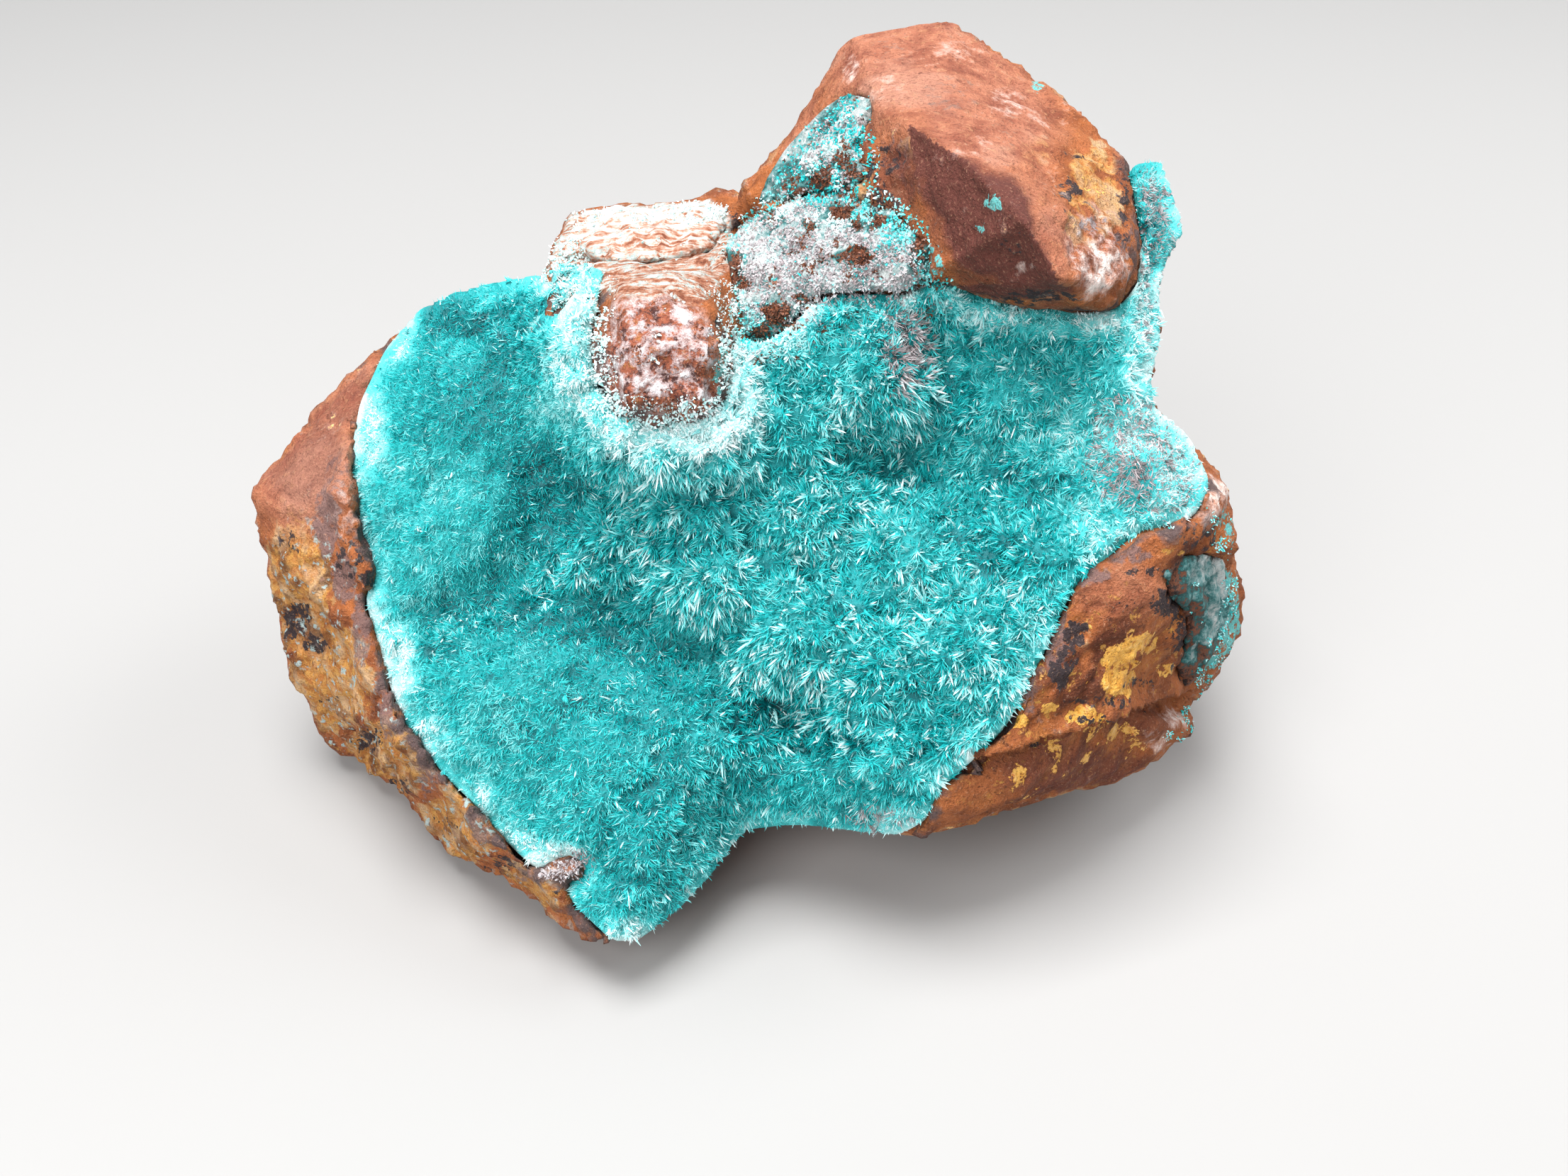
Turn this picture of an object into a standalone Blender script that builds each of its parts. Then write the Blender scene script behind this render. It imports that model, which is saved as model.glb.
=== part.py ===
# Aurichalcite specimen, a broken piece of brown limonite with a hollow lined by teal crystals

import math

import bmesh
import bpy
from mathutils import Vector, noise
from mathutils.bvhtree import BVHTree
from mathutils.geometry import delaunay_2d_cdt

OBJECT_NAME = "aurichalcite_specimen"
MM = 0.001

# Front view in which the visible corners are given, in mm
EYE_HEIGHT = 75.0
SIGHT_DOWN = math.radians(37.0)
SIGHT_REACH = 90.0
HOME = Vector((-2.12, 82.68, 0.0))

# Matrix surface
GRAIN = 0.62
MATRIX_FACES = 4000
COARSE_SWELL = 0.75
COARSE_SCALE = 7.5
COARSE_LAYERS = (0.9, 2.0, 3)
FINE_SWELL = 0.34
FINE_SCALE = 2.6
FINE_LAYERS = (0.8, 2.1, 2)
FINE_SHIFT = Vector((7.0, 3.0, 5.0))
SMOOTH_FROM = 34.0
SMOOTH_SPAN = 4.0
SMOOTH_SHARE = 0.65
STAR_CENTRE = (-4.3, 5.2)
STAR_STEPS = 144
FIT_FROM = 0.45
FACET_SHARE = 0.88
FACET_BLEND = 0.9
FACET_LIMIT = 3.0
REST_SLAB = 30.0
REST_WIDE = 90.0

# Crust solids
SEAT_GAP = 0.3
SEAT_DEEP = 0.5
STEEP_SEAT = 1.1
CRUST_THICK = 2.0
CRUST_EDGE_STEP = 1.3
CRUST_STEP = 1.02
CRUST_BACK_STEP = 2.1
FRONT_MARGIN = 0.55
BACK_MARGIN = 0.4
CRYSTAL_HIGH = 0.62
CRYSTAL_SCALE = 0.9
CRYSTAL_DRIFT = 0.5
CRYSTAL_LAYER = 3.0
LATTICE_DRIFT = 0.25
LATTICE_SCALE = 1.7
LATTICE_SHIFT = Vector((9.0, 4.0, 2.0))
EDGE_BLEND = 4.2
EDGE_ROUND = 1.5
EDGE_DROP = 1.1
CORNER_SHARP = 0.2
CORNER_LEAN = 0.6
COVER_OUT = 60.0
BACKING_IN = 0.3
BACKING_EDGE_STEP = 1.5
BACKING_STEP = 2.5
BACKING_MARGIN = 1.0
BACKING_OVER = 2.0
BACKING_DEEP = 9.0
BACKING_TAPER = 0.86
FREE_INSET = 0.4
FREE_REACH = 2.0

# Outline of the whole specimen in the front view, across and up
OUTLINE = [
    (-30.5, 5.4), (-28.2, 8.0), (-25.6, 10.9), (-22.8, 13.7), (-20.4, 15.8), (-16.7, 17.1),
    (-14.1, 17.7), (-13.1, 19.3), (-11.9, 21.3), (-7.2, 21.6), (-2.5, 22.3), (0.0, 26.0),
    (2.6, 29.0), (3.4, 31.6), (6.4, 32.1), (8.9, 32.3), (12.6, 30.0), (15.8, 27.9),
    (18.3, 25.4), (19.5, 24.2), (21.5, 24.1), (21.9, 22.4), (22.6, 20.3), (21.5, 18.2),
    (21.1, 16.2), (21.2, 13.8), (20.7, 12.0), (20.8, 10.2), (22.3, 9.2), (23.5, 7.6),
    (24.5, 6.8), (25.6, 4.4), (25.6, 2.0), (26.1, -0.9), (25.8, -2.8), (24.0, -5.5),
    (22.6, -6.9), (23.1, -8.2), (21.5, -9.5), (19.5, -10.9), (17.0, -11.5), (15.1, -11.8),
    (13.5, -12.3), (9.3, -13.6), (6.7, -14.5), (4.5, -13.8), (0.0, -13.3), (-2.3, -13.6),
    (-4.0, -15.8), (-6.5, -18.6), (-9.1, -20.8), (-12.8, -18.7), (-16.7, -15.9), (-18.9, -15.4),
    (-21.0, -12.6), (-25.4, -8.9), (-27.8, -5.7), (-29.0, -0.8), (-29.7, 3.4),
]

# Matrix chunks, corners seen from the front as across, up, near and hidden ones as x, y, z
WEST_SEEN = [
    (-9.1, -20.8, 1.0), (-12.8, -18.8, -4.1), (-16.7, -15.9, -7.7), (-21.0, -12.5, -12.5),
    (-25.4, -8.9, -17.5), (-27.7, -5.7, -15.8), (-29.0, -0.8, -12.5), (-29.7, 3.5, -9.2),
    (-30.5, 5.4, -7.9), (-22.8, 13.7, -9.0), (-16.7, 16.6, -6.0), (-14.1, 17.0, -6.0),
    (-24.8, 8.4, -5.2), (-24.6, 4.5, -4.1), (-23.2, -3.2, -3.3), (-21.9, -7.6, -3.0),
    (-19.4, -10.8, -2.6), (-16.2, -14.2, -2.0), (-12.6, -17.2, -0.8), (-8.0, -19.8, 0.2),
    (-5.4, -16.3, -3.2), (-3.4, -13.6, -6.0), (-6.0, -6.0, -6.0),
]
WEST_HIDDEN = [
    (-27.0, 82.0, 0.6), (-23.5, 78.5, -0.9), (-15.0, 70.5, -0.9), (-7.5, 69.0, -0.9),
    (-25.5, 91.0, -0.9), (-15.0, 99.0, -0.9), (-30.2, 92.0, 12.0), (-27.5, 95.5, 22.0),
    (-19.0, 101.0, 26.0), (-20.0, 103.0, 12.0), (-10.0, 102.0, 10.0),
]
EAST_SEEN = [
    (6.7, -14.3, 0.6), (4.8, -13.2, -2.2), (9.2, -13.6, 0.8), (13.5, -12.3, 0.1),
    (17.0, -11.5, -6.9), (19.5, -10.9, -9.3), (21.5, -9.5, -10.8), (23.1, -8.2, -12.0),
    (25.8, -2.8, -10.4), (26.1, -0.9, -9.5), (25.6, 2.0, -6.0), (25.6, 4.4, -3.0),
    (24.5, 6.6, 1.4), (12.3, -8.9, 3.9), (14.1, -5.0, 4.1), (15.9, -1.4, 3.9),
    (18.6, 1.2, 3.5), (21.0, 3.0, 3.4), (24.1, 5.2, 3.0), (17.0, -7.7, 1.0),
    (20.6, -6.4, -3.0), (22.4, -5.8, -6.6), (22.0, 8.8, 0.8), (20.3, 10.0, 2.0),
]
EAST_HIDDEN = [
    (13.0, 79.5, -0.9), (5.0, 77.0, -0.9), (17.5, 87.0, -0.9), (13.5, 97.0, -0.9),
    (27.0, 91.0, 8.0), (28.5, 90.0, 20.0), (25.0, 94.0, 30.0), (15.0, 103.0, 16.0),
    (4.0, 100.0, -0.9),
]
HEART_SEEN = [
    (-4.5, -13.0, -6.5), (-1.5, -12.2, -7.0), (3.0, -12.2, -5.0), (7.5, -12.8, -1.6),
    (-14.0, 16.0, -5.0), (-3.0, 16.5, -4.0), (8.0, 16.0, -3.0), (20.0, 14.5, 2.6),
    (-18.0, 0.0, -5.5), (14.0, 2.0, 1.0), (-16.0, -10.0, -3.0), (0.0, 5.0, -2.0),
]
HEART_HIDDEN = [
    (-6.0, 74.5, -0.9), (5.0, 77.0, -0.9), (-2.0, 102.0, -0.9), (10.0, 99.0, -0.9),
    (-6.0, 103.5, 14.0), (6.0, 105.0, 24.0), (16.0, 101.0, 30.0), (-12.0, 102.0, 26.0),
]
PEAK_SEEN = [
    (3.4, 31.6, -9.5), (6.4, 32.1, -9.5), (8.9, 32.3, -9.0), (12.6, 30.0, -7.5),
    (18.3, 25.4, -3.0), (19.5, 23.6, -1.6), (19.9, 20.0, 1.6), (19.5, 16.6, 3.9),
    (6.3, 26.2, 1.6), (10.0, 24.4, 5.6), (13.6, 21.2, 8.6), (16.3, 17.4, 8.0),
    (8.8, 18.4, 3.8), (12.6, 16.9, 5.6), (17.2, 16.2, 5.5), (2.6, 28.8, -8.6),
    (0.0, 26.0, -8.8), (-2.3, 22.2, -8.6), (2.4, 22.6, -2.8), (5.4, 22.4, -0.2),
    (10.0, 14.6, -2.4), (17.5, 13.8, 0.0),
]
PEAK_HIDDEN = [
    (3.5, 103.5, 37.0), (12.0, 104.5, 35.5), (21.0, 97.5, 34.0), (14.0, 105.0, 20.0),
    (24.5, 93.0, 26.0), (-3.0, 102.0, 28.0),
]
SHELF_SEEN = [
    (-11.9, 21.3, -13.0), (-7.2, 21.7, -12.8), (-2.5, 22.3, -12.0), (-14.0, 17.8, -9.6),
    (-10.0, 17.9, -4.4), (-4.0, 18.5, -4.2), (-13.1, 19.4, -12.0),
]
SHELF_HIDDEN = [
    (-17.5, 100.0, 25.0), (-13.0, 101.5, 29.0), (-2.0, 102.5, 29.5), (-15.0, 88.0, 20.0),
    (0.0, 88.0, 20.0),
]
NECK_SEEN = [
    (-3.6, 19.2, -3.6), (-2.4, 14.8, -0.4), (0.8, 15.6, 0.6), (4.0, 17.4, 1.2),
    (8.6, 17.6, 1.8), (6.0, 22.4, -1.2), (1.4, 24.2, -5.0), (-1.8, 21.2, -6.4),
    (-2.0, 12.0, -3.5), (8.0, 13.0, -3.5), (3.0, 12.0, -3.5),
]
NECK_HIDDEN = [(-4.0, 95.0, 26.0), (8.0, 96.0, 28.0)]
KNOB_SEEN = [
    (-9.7, 17.4, 3.2), (-6.3, 17.8, 2.8), (-4.0, 16.2, 4.2), (-3.3, 13.4, 5.6),
    (-4.0, 10.9, 5.6), (-6.4, 9.7, 5.4), (-9.4, 10.4, 6.2), (-10.6, 13.0, 5.6),
    (-6.8, 13.4, 7.8), (-8.6, 15.2, 7.0), (-10.5, 17.6, -6.0), (-3.5, 18.0, -6.0),
    (-3.0, 10.5, -3.0), (-10.5, 10.0, -3.0),
]
BACK_HIDDEN = [
    (-24.5, 84.0, -0.9), (14.5, 84.0, -0.9), (-23.0, 96.0, -0.9), (10.5, 100.5, -0.9),
    (-10.0, 102.5, -0.9), (-26.5, 97.5, 13.0), (-19.0, 101.5, 25.0), (-8.0, 104.5, 21.0),
    (7.0, 106.0, 21.0), (21.0, 100.0, 19.0), (23.5, 94.5, 7.0), (-20.0, 90.0, 27.0),
    (0.0, 92.0, 28.0), (17.0, 92.0, 28.0),
]
EDGE_SEEN = [
    (20.4, 19.5, -1.2), (19.8, 23.2, -3.4), (21.5, 22.6, -4.6), (22.0, 20.2, -3.2),
    (20.6, 16.5, -0.6), (20.5, 12.0, 0.4), (20.3, 9.6, 1.2), (17.5, 12.0, -2.0),
    (17.5, 18.0, -2.0),
]
EDGE_HIDDEN = [(26.5, 92.0, 24.0), (24.5, 93.0, 33.0), (22.0, 92.0, 18.0)]

# Flat broken sides of the peak: corners across, up and near, sides by corner, and their border
PEAK_CORNERS = [
    (3.4, 31.6, -9.5), (8.9, 32.3, -9.0), (12.6, 30.0, -7.5), (18.3, 25.4, -3.0),
    (19.9, 20.0, 1.6), (19.5, 16.6, 3.9), (7.0, 26.4, 2.2), (10.2, 24.3, 6.0),
    (13.6, 20.8, 9.3), (16.0, 16.9, 9.0), (13.5, 25.2, 2.3), (15.3, 21.2, 7.5),
    (17.1, 17.2, 7.6), (12.6, 16.9, 4.9), (8.8, 18.2, 3.3), (5.6, 22.4, -0.2),
    (4.6, 27.4, -1.6),
]
PEAK_SIDES = [
    (0, 1, 6), (1, 7, 6), (1, 2, 10), (1, 10, 7), (7, 10, 11), (7, 11, 8), (8, 11, 12),
    (8, 12, 9), (2, 3, 10), (3, 4, 11), (3, 11, 10), (4, 12, 11), (4, 5, 12), (6, 7, 14),
    (7, 8, 14), (8, 13, 14), (8, 9, 13), (6, 14, 15), (6, 15, 16), (0, 6, 16),
]
PEAK_BORDER = [0, 1, 2, 3, 4, 5, 12, 9, 13, 14, 15, 16]

# Warty lumps along the left rim and shallow holes in the outer wall, with radius
LUMPS = [
    (-24.7, 5.4, -3.9, 0.95), (-24.2, 3.4, -3.5, 1.0), (-24.6, 2.0, -3.6, 0.9),
    (-23.7, 1.3, -3.2, 1.05), (-23.4, 0.3, -3.2, 0.8), (-24.9, 7.4, -4.6, 0.8),
    (21.9, 3.0, 3.2, 0.9), (20.3, 2.8, 3.4, 0.7), (24.6, 2.6, -1.6, 1.0),
    (-8.6, 10.8, 6.4, 0.9), (-5.0, 10.5, 5.6, 0.8), (-4.3, 13.5, 6.4, 0.9), (-7.2, 16.4, 5.0, 0.9),
    (-6.6, 10.6, 6.0, 0.7),
]
PITS = [
    (-27.4, -1.6, 1.0), (-26.6, -3.4, 0.9), (-23.4, -8.6, 0.9), (-22.0, -11.2, 0.7),
    (16.9, -2.9, 0.8), (15.8, -4.8, 0.8), (16.4, 22.6, 0.6), (17.4, 20.4, 0.7),
    (22.4, -1.4, 0.8),
]
PIT_DEPTH = 0.45

# Edge of the crystal crust clockwise from the left rim, as across, up, near and free or seated
CRUST_EDGE = [
    (-24.4, 7.6, -5.0, 0), (-23.9, 10.4, -6.3, 0), (-22.5, 13.4, -8.4, 0), (-20.5, 15.8, -8.0, 1),
    (-18.6, 16.7, -6.6, 1), (-16.0, 17.3, -5.6, 1), (-13.8, 17.7, -4.6, 1), (-12.0, 18.3, -3.6, 0),
    (-10.4, 18.0, -0.5, 0), (-10.7, 16.4, 3.6, 0), (-11.2, 14.0, 4.2, 0), (-10.9, 11.4, 4.2, 0),
    (-9.6, 9.7, 4.3, 0), (-7.2, 9.1, 4.4, 0), (-5.0, 9.3, 4.4, 0), (-3.4, 10.2, 4.0, 0),
    (-2.8, 12.4, 3.4, 0), (-2.7, 14.0, 2.4, 0), (-1.2, 13.6, 1.2, 0), (0.4, 14.6, 1.2, 0),
    (2.2, 16.3, 1.0, 0), (4.8, 16.5, 1.2, 0), (7.0, 16.4, 1.0, 0), (8.8, 17.3, 1.2, 0),
    (10.4, 16.6, 0.8, 0), (12.6, 16.1, 0.6, 0), (15.0, 15.7, 0.8, 0), (17.2, 15.4, 1.6, 0),
    (19.0, 15.6, 2.8, 0), (20.2, 17.0, 2.4, 0), (20.5, 19.8, 1.0, 0), (20.1, 22.0, -0.4, 0),
    (19.7, 23.9, -1.6, 0), (21.4, 24.1, -2.6, 1), (21.9, 22.4, -2.0, 1), (22.6, 20.3, -1.4, 1),
    (21.5, 18.2, 0.4, 1), (21.2, 16.2, 1.2, 1), (21.2, 13.8, 2.0, 1), (20.7, 12.0, 2.4, 1),
    (20.8, 10.2, 2.6, 1), (22.3, 9.2, 1.8, 1), (23.4, 7.6, 1.6, 1), (24.0, 5.9, 2.4, 0),
    (23.2, 4.2, 3.2, 0), (21.6, 3.7, 3.6, 0), (20.0, 3.3, 3.7, 0), (18.4, 2.0, 3.8, 0),
    (16.6, 0.6, 4.0, 0), (15.6, -1.2, 4.1, 0), (14.6, -3.6, 4.2, 0), (13.6, -5.6, 4.2, 0),
    (12.4, -7.8, 4.0, 0), (10.6, -9.6, 3.4, 0), (8.6, -11.4, 2.2, 0), (8.0, -13.0, 1.2, 0),
    (6.4, -13.9, 0.4, 1), (4.5, -13.7, -0.8, 1), (2.2, -13.4, -2.4, 1), (0.0, -13.3, -3.2, 1),
    (-2.3, -13.6, -4.0, 1), (-3.4, -15.0, -3.2, 1), (-4.6, -16.6, -2.0, 1), (-6.6, -18.6, -0.6, 1),
    (-8.4, -19.9, 0.4, 1), (-9.6, -19.9, 0.8, 0), (-11.6, -18.0, -0.2, 0), (-12.4, -16.8, -0.6, 0),
    (-11.0, -16.4, -0.4, 0), (-11.1, -15.2, -0.2, 0), (-12.6, -15.2, -0.6, 0),
    (-13.9, -15.9, -1.3, 0), (-15.9, -14.0, -1.9, 0), (-17.2, -12.4, -2.2, 0),
    (-19.2, -10.4, -2.6, 0), (-21.4, -7.6, -3.0, 0), (-22.3, -5.2, -3.2, 0),
    (-23.0, -2.6, -3.4, 0), (-23.6, -0.6, -3.5, 0), (-22.9, 1.0, -3.4, 0), (-23.8, 2.9, -3.8, 0),
    (-24.1, 5.0, -4.2, 0),
]

# Swellings of the crust, as across, up, half width, half height, top and drop
SWELLS = [
    (-18.5, 9.5, 8.5, 8.0, -2.0, 4.5), (-20.5, 2.6, 5.5, 5.0, -2.1, 3.6),
    (-15.0, 14.6, 4.5, 4.5, -2.0, 4.0), (-16.8, 5.0, 4.5, 5.0, -1.9, 3.6),
    (-11.8, 13.6, 3.2, 4.8, 3.8, 4.8), (-9.4, 8.6, 4.2, 3.2, 2.8, 4.2),
    (-5.2, 8.2, 5.2, 3.6, 3.6, 4.2), (-5.0, 4.4, 5.0, 4.0, 1.2, 3.6),
    (-9.8, 2.4, 4.4, 3.4, -0.6, 3.6), (-4.2, 0.6, 4.6, 3.0, 1.0, 3.4),
    (0.2, 9.6, 4.2, 4.2, 1.2, 3.4), (1.2, 4.2, 5.0, 4.2, 0.6, 3.4),
    (2.2, -2.2, 5.6, 4.4, 2.0, 4.2), (6.6, -5.0, 6.0, 4.4, 2.8, 4.4),
    (11.2, -3.4, 4.6, 5.0, 4.0, 3.8), (7.6, 1.6, 5.0, 4.0, 1.6, 3.4),
    (7.2, -9.6, 5.6, 4.2, 3.0, 4.4), (2.6, -11.6, 5.6, 3.6, -0.2, 4.0),
    (5.0, 12.2, 4.0, 3.4, 1.6, 3.4), (13.6, 11.0, 5.4, 4.4, 0.8, 3.6),
    (16.6, 6.4, 4.8, 4.2, 2.0, 3.4), (14.6, 1.6, 4.4, 3.4, 3.4, 3.6),
    (18.8, 11.4, 3.6, 4.6, 3.0, 3.8), (21.4, 6.6, 3.8, 3.6, 4.6, 4.4),
    (-13.6, -6.6, 9.0, 6.6, 0.2, 4.4), (-8.6, -9.6, 8.0, 7.0, 1.2, 4.2),
    (-9.0, -15.2, 6.0, 5.6, 1.8, 4.0), (-17.2, -8.4, 6.0, 6.4, -0.9, 3.6),
    (-3.2, -8.6, 5.6, 5.2, -0.6, 4.2), (21.0, 21.0, 2.6, 4.0, 0.4, 2.6),
]
SWELL_FLOOR = -6.5
SWELL_BLEND = 0.45

# Patches of other crusts, as the edge across and up
DRUSE_EDGE = [
    (-2.2, 14.5), (-1.0, 14.2), (0.2, 15.2), (1.8, 16.9), (4.6, 17.1), (6.9, 17.0), (7.9, 17.9),
    (8.2, 19.4), (7.0, 20.2), (6.2, 21.3), (4.0, 21.9), (1.6, 22.2), (-0.4, 21.4), (-2.0, 20.8),
    (-3.2, 19.4), (-2.8, 17.4), (-2.4, 16.0),
]
FLANK_EDGE = [
    (-1.3, 21.9), (0.2, 22.1), (1.6, 22.8), (3.6, 22.6), (4.6, 23.6), (4.0, 25.2), (4.8, 26.6),
    (4.9, 27.6), (3.6, 27.9), (2.4, 27.1), (1.2, 25.9), (0.2, 24.8), (-0.8, 23.2),
]
SHELF_EDGE = [
    (-12.6, 18.9), (-9.6, 18.6), (-7.6, 18.6), (-5.6, 18.8), (-4.0, 19.4), (-3.4, 20.6),
    (-3.5, 21.6), (-7.2, 21.4), (-11.6, 21.0),
]
SLAB_EDGE = [
    (22.2, 1.6), (23.8, 1.8), (24.9, 1.5), (24.9, 0.4), (25.2, -1.0), (25.0, -2.3), (24.2, -3.7),
    (23.5, -4.8), (22.7, -5.6), (22.4, -4.6), (22.8, -3.4), (23.0, -2.1), (22.7, -1.0),
    (21.9, -0.3), (21.6, 0.8),
]
PATCH_DEEP = 0.8
PATCH_EDGE_STEP = 1.2
PATCH_STEP = 0.95
PATCH_BACK_STEP = 2.4
PATCH_SOFTNESS = 0.35
PATCH_RIM = 0.1

# Patches by name, with edge, rise, crystal height and depth of the seat below them
PATCHES = [
    ("grey_druse", DRUSE_EDGE, 0.55, 0.45, SEAT_DEEP),
    ("flank_crust", FLANK_EDGE, 0.45, 0.5, STEEP_SEAT),
    ("shelf_crust", SHELF_EDGE, 0.5, 0.35, SEAT_DEEP),
    ("slab_crust", SLAB_EDGE, 0.25, 0.35, STEEP_SEAT),
]

# Finishes
LIMONITE = (0.40, 0.17, 0.07, 1.0)
TEAL = (0.02, 0.42, 0.43, 1.0)
PALE_TEAL = (0.50, 0.76, 0.74, 1.0)
GREY_VIOLET = (0.45, 0.40, 0.41, 1.0)


def seen(across, up, near):
    """Point in the frame of the part, in mm, for a place in the front view."""
    reach = SIGHT_REACH - near
    side = across / SIGHT_REACH
    rise = up / SIGHT_REACH
    x = reach * side
    y = reach * (rise * math.sin(SIGHT_DOWN) + math.cos(SIGHT_DOWN))
    z = EYE_HEIGHT + reach * (rise * math.cos(SIGHT_DOWN) - math.sin(SIGHT_DOWN))
    return Vector((x, y, z)) - HOME


def in_view(point):
    """Across, up and near of a point given in mm in the frame of the part."""
    place = point + HOME - Vector((0.0, 0.0, EYE_HEIGHT))
    reach = place.y * math.cos(SIGHT_DOWN) - place.z * math.sin(SIGHT_DOWN)
    rise = place.y * math.sin(SIGHT_DOWN) + place.z * math.cos(SIGHT_DOWN)
    across = place.x / reach * SIGHT_REACH
    up = rise / reach * SIGHT_REACH
    return across, up, SIGHT_REACH - reach


def hidden(point):
    return Vector(point) - HOME


def clear_scene():
    for item in list(bpy.data.objects):
        bpy.data.objects.remove(item, do_unlink=True)


def new_collection(name):
    group = bpy.data.collections.new(name)
    bpy.context.scene.collection.children.link(group)
    return group


def finish_material(name, color, roughness):
    material = bpy.data.materials.new(name)
    material.use_nodes = True
    shader = material.node_tree.nodes["Principled BSDF"]
    shader.inputs["Base Color"].default_value = color
    shader.inputs["Roughness"].default_value = roughness
    material.diffuse_color = color
    return material


def hull_into(bm, points):
    """Adds the convex block around some points."""
    verts = [bm.verts.new(point) for point in points]
    result = bmesh.ops.convex_hull(bm, input=verts)
    inner = [item for item in result["geom_interior"] if isinstance(item, bmesh.types.BMVert)]
    bmesh.ops.delete(bm, geom=inner, context="VERTS")


def backing_into(bm):
    """Stone behind the whole crust, narrowing away from it."""
    edge = [(row[0], row[1]) for row in walk_edge(CRUST_EDGE, BACKING_EDGE_STEP)]
    border = widen(edge, -BACKING_IN)
    inner = lattice(border, BACKING_STEP, BACKING_MARGIN)
    points, faces = triangles(border, inner)
    front = []
    back = []
    for point in points:
        near = crust_near(point.x, point.y) - CRUST_THICK + BACKING_OVER
        across = STAR_CENTRE[0] + (point.x - STAR_CENTRE[0]) * BACKING_TAPER
        up = STAR_CENTRE[1] + (point.y - STAR_CENTRE[1]) * BACKING_TAPER
        front.append(bm.verts.new(seen(point.x, point.y, near)))
        back.append(bm.verts.new(seen(across, up, near - BACKING_DEEP)))
    for face in faces:
        bm.faces.new([front[index] for index in face])
        bm.faces.new([back[index] for index in reversed(face)])
    count = len(border)
    for index in range(count):
        after = (index + 1) % count
        bm.faces.new([front[index], back[index], back[after], front[after]])


def ball_into(bm, centre, radius):
    made = bmesh.ops.create_icosphere(bm, subdivisions=2, radius=radius)
    bmesh.ops.translate(bm, verts=made["verts"], vec=centre)


def object_from(bm, name, group):
    mesh = bpy.data.meshes.new(name)
    bm.to_mesh(mesh)
    bm.free()
    item = bpy.data.objects.new(name, mesh)
    group.objects.link(item)
    return item


def bake(item):
    """Keeps the shape that the modifiers give and removes them."""
    depsgraph = bpy.context.evaluated_depsgraph_get()
    shaped = bpy.data.meshes.new_from_object(item.evaluated_get(depsgraph))
    item.modifiers.clear()
    item.data = shaped


def rough_block(group):
    """All chunks and lumps of the matrix grown into one closed block, in mm."""
    bm = bmesh.new()
    chunks = [
        (WEST_SEEN, WEST_HIDDEN), (EAST_SEEN, EAST_HIDDEN), (HEART_SEEN, HEART_HIDDEN),
        (PEAK_SEEN, PEAK_HIDDEN), (SHELF_SEEN, SHELF_HIDDEN), (NECK_SEEN, NECK_HIDDEN),
        (KNOB_SEEN, []), ([], BACK_HIDDEN), (EDGE_SEEN, EDGE_HIDDEN),
    ]
    for corners, back in chunks:
        points = [seen(*corner) for corner in corners] + [hidden(corner) for corner in back]
        hull_into(bm, points)
    backing_into(bm)
    for across, up, near, radius in LUMPS:
        ball_into(bm, seen(across, up, near), radius)
    bmesh.ops.recalc_face_normals(bm, faces=bm.faces)
    block = object_from(bm, "limonite_matrix", group)
    grow = block.modifiers.new("grow", "REMESH")
    grow.mode = "VOXEL"
    grow.voxel_size = GRAIN
    bake(block)
    return block


def place_vertices(mesh, places):
    for vertex, place in zip(mesh.vertices, places):
        vertex.co = place
    mesh.update()


def smoothness(height):
    """Share of the roughness, less on the broken faces of the peak."""
    rise = min(1.0, max(0.0, (height - SMOOTH_FROM) / SMOOTH_SPAN))
    return 1.0 - SMOOTH_SHARE * rise


def roughen(mesh):
    """Coarse and fine swellings, stronger where the stone is pitted."""
    moved = []
    for vertex in mesh.vertices:
        coarse = noise.fractal(vertex.co / COARSE_SCALE, *COARSE_LAYERS)
        fine = noise.fractal(vertex.co / FINE_SCALE + FINE_SHIFT, *FINE_LAYERS)
        swell = (coarse * COARSE_SWELL + fine * FINE_SWELL) * smoothness(vertex.co.z)
        moved.append(vertex.co + vertex.normal * swell)
    place_vertices(mesh, moved)


def outline_reach(edge, angle):
    """Distance from the star centre to an outline along one direction."""
    side = math.cos(angle)
    rise = math.sin(angle)
    best = 0.0
    count = len(edge)
    for index in range(count):
        ax = edge[index][0] - STAR_CENTRE[0]
        ay = edge[index][1] - STAR_CENTRE[1]
        bx = edge[(index + 1) % count][0] - STAR_CENTRE[0]
        by = edge[(index + 1) % count][1] - STAR_CENTRE[1]
        turn_a = side * ay - rise * ax
        turn_b = side * by - rise * bx
        if turn_a * turn_b > 0.0 or turn_a == turn_b:
            continue
        share = turn_a / (turn_a - turn_b)
        reach = (ax + (bx - ax) * share) * side + (ay + (by - ay) * share) * rise
        best = max(best, reach)
    return best


def free_inset(angle):
    """Step back of the stone where the crust alone makes the outline."""
    across = STAR_CENTRE[0] + math.cos(angle) * outline_reach(OUTLINE, angle)
    up = STAR_CENTRE[1] + math.sin(angle) * outline_reach(OUTLINE, angle)
    free = [(row[0], row[1]) for row in CRUST_EDGE if row[3] == 1]
    gap = min(math.hypot(across - side, up - rise) for side, rise in free)
    return FREE_INSET * max(0.0, 1.0 - gap / FREE_REACH)


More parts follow.
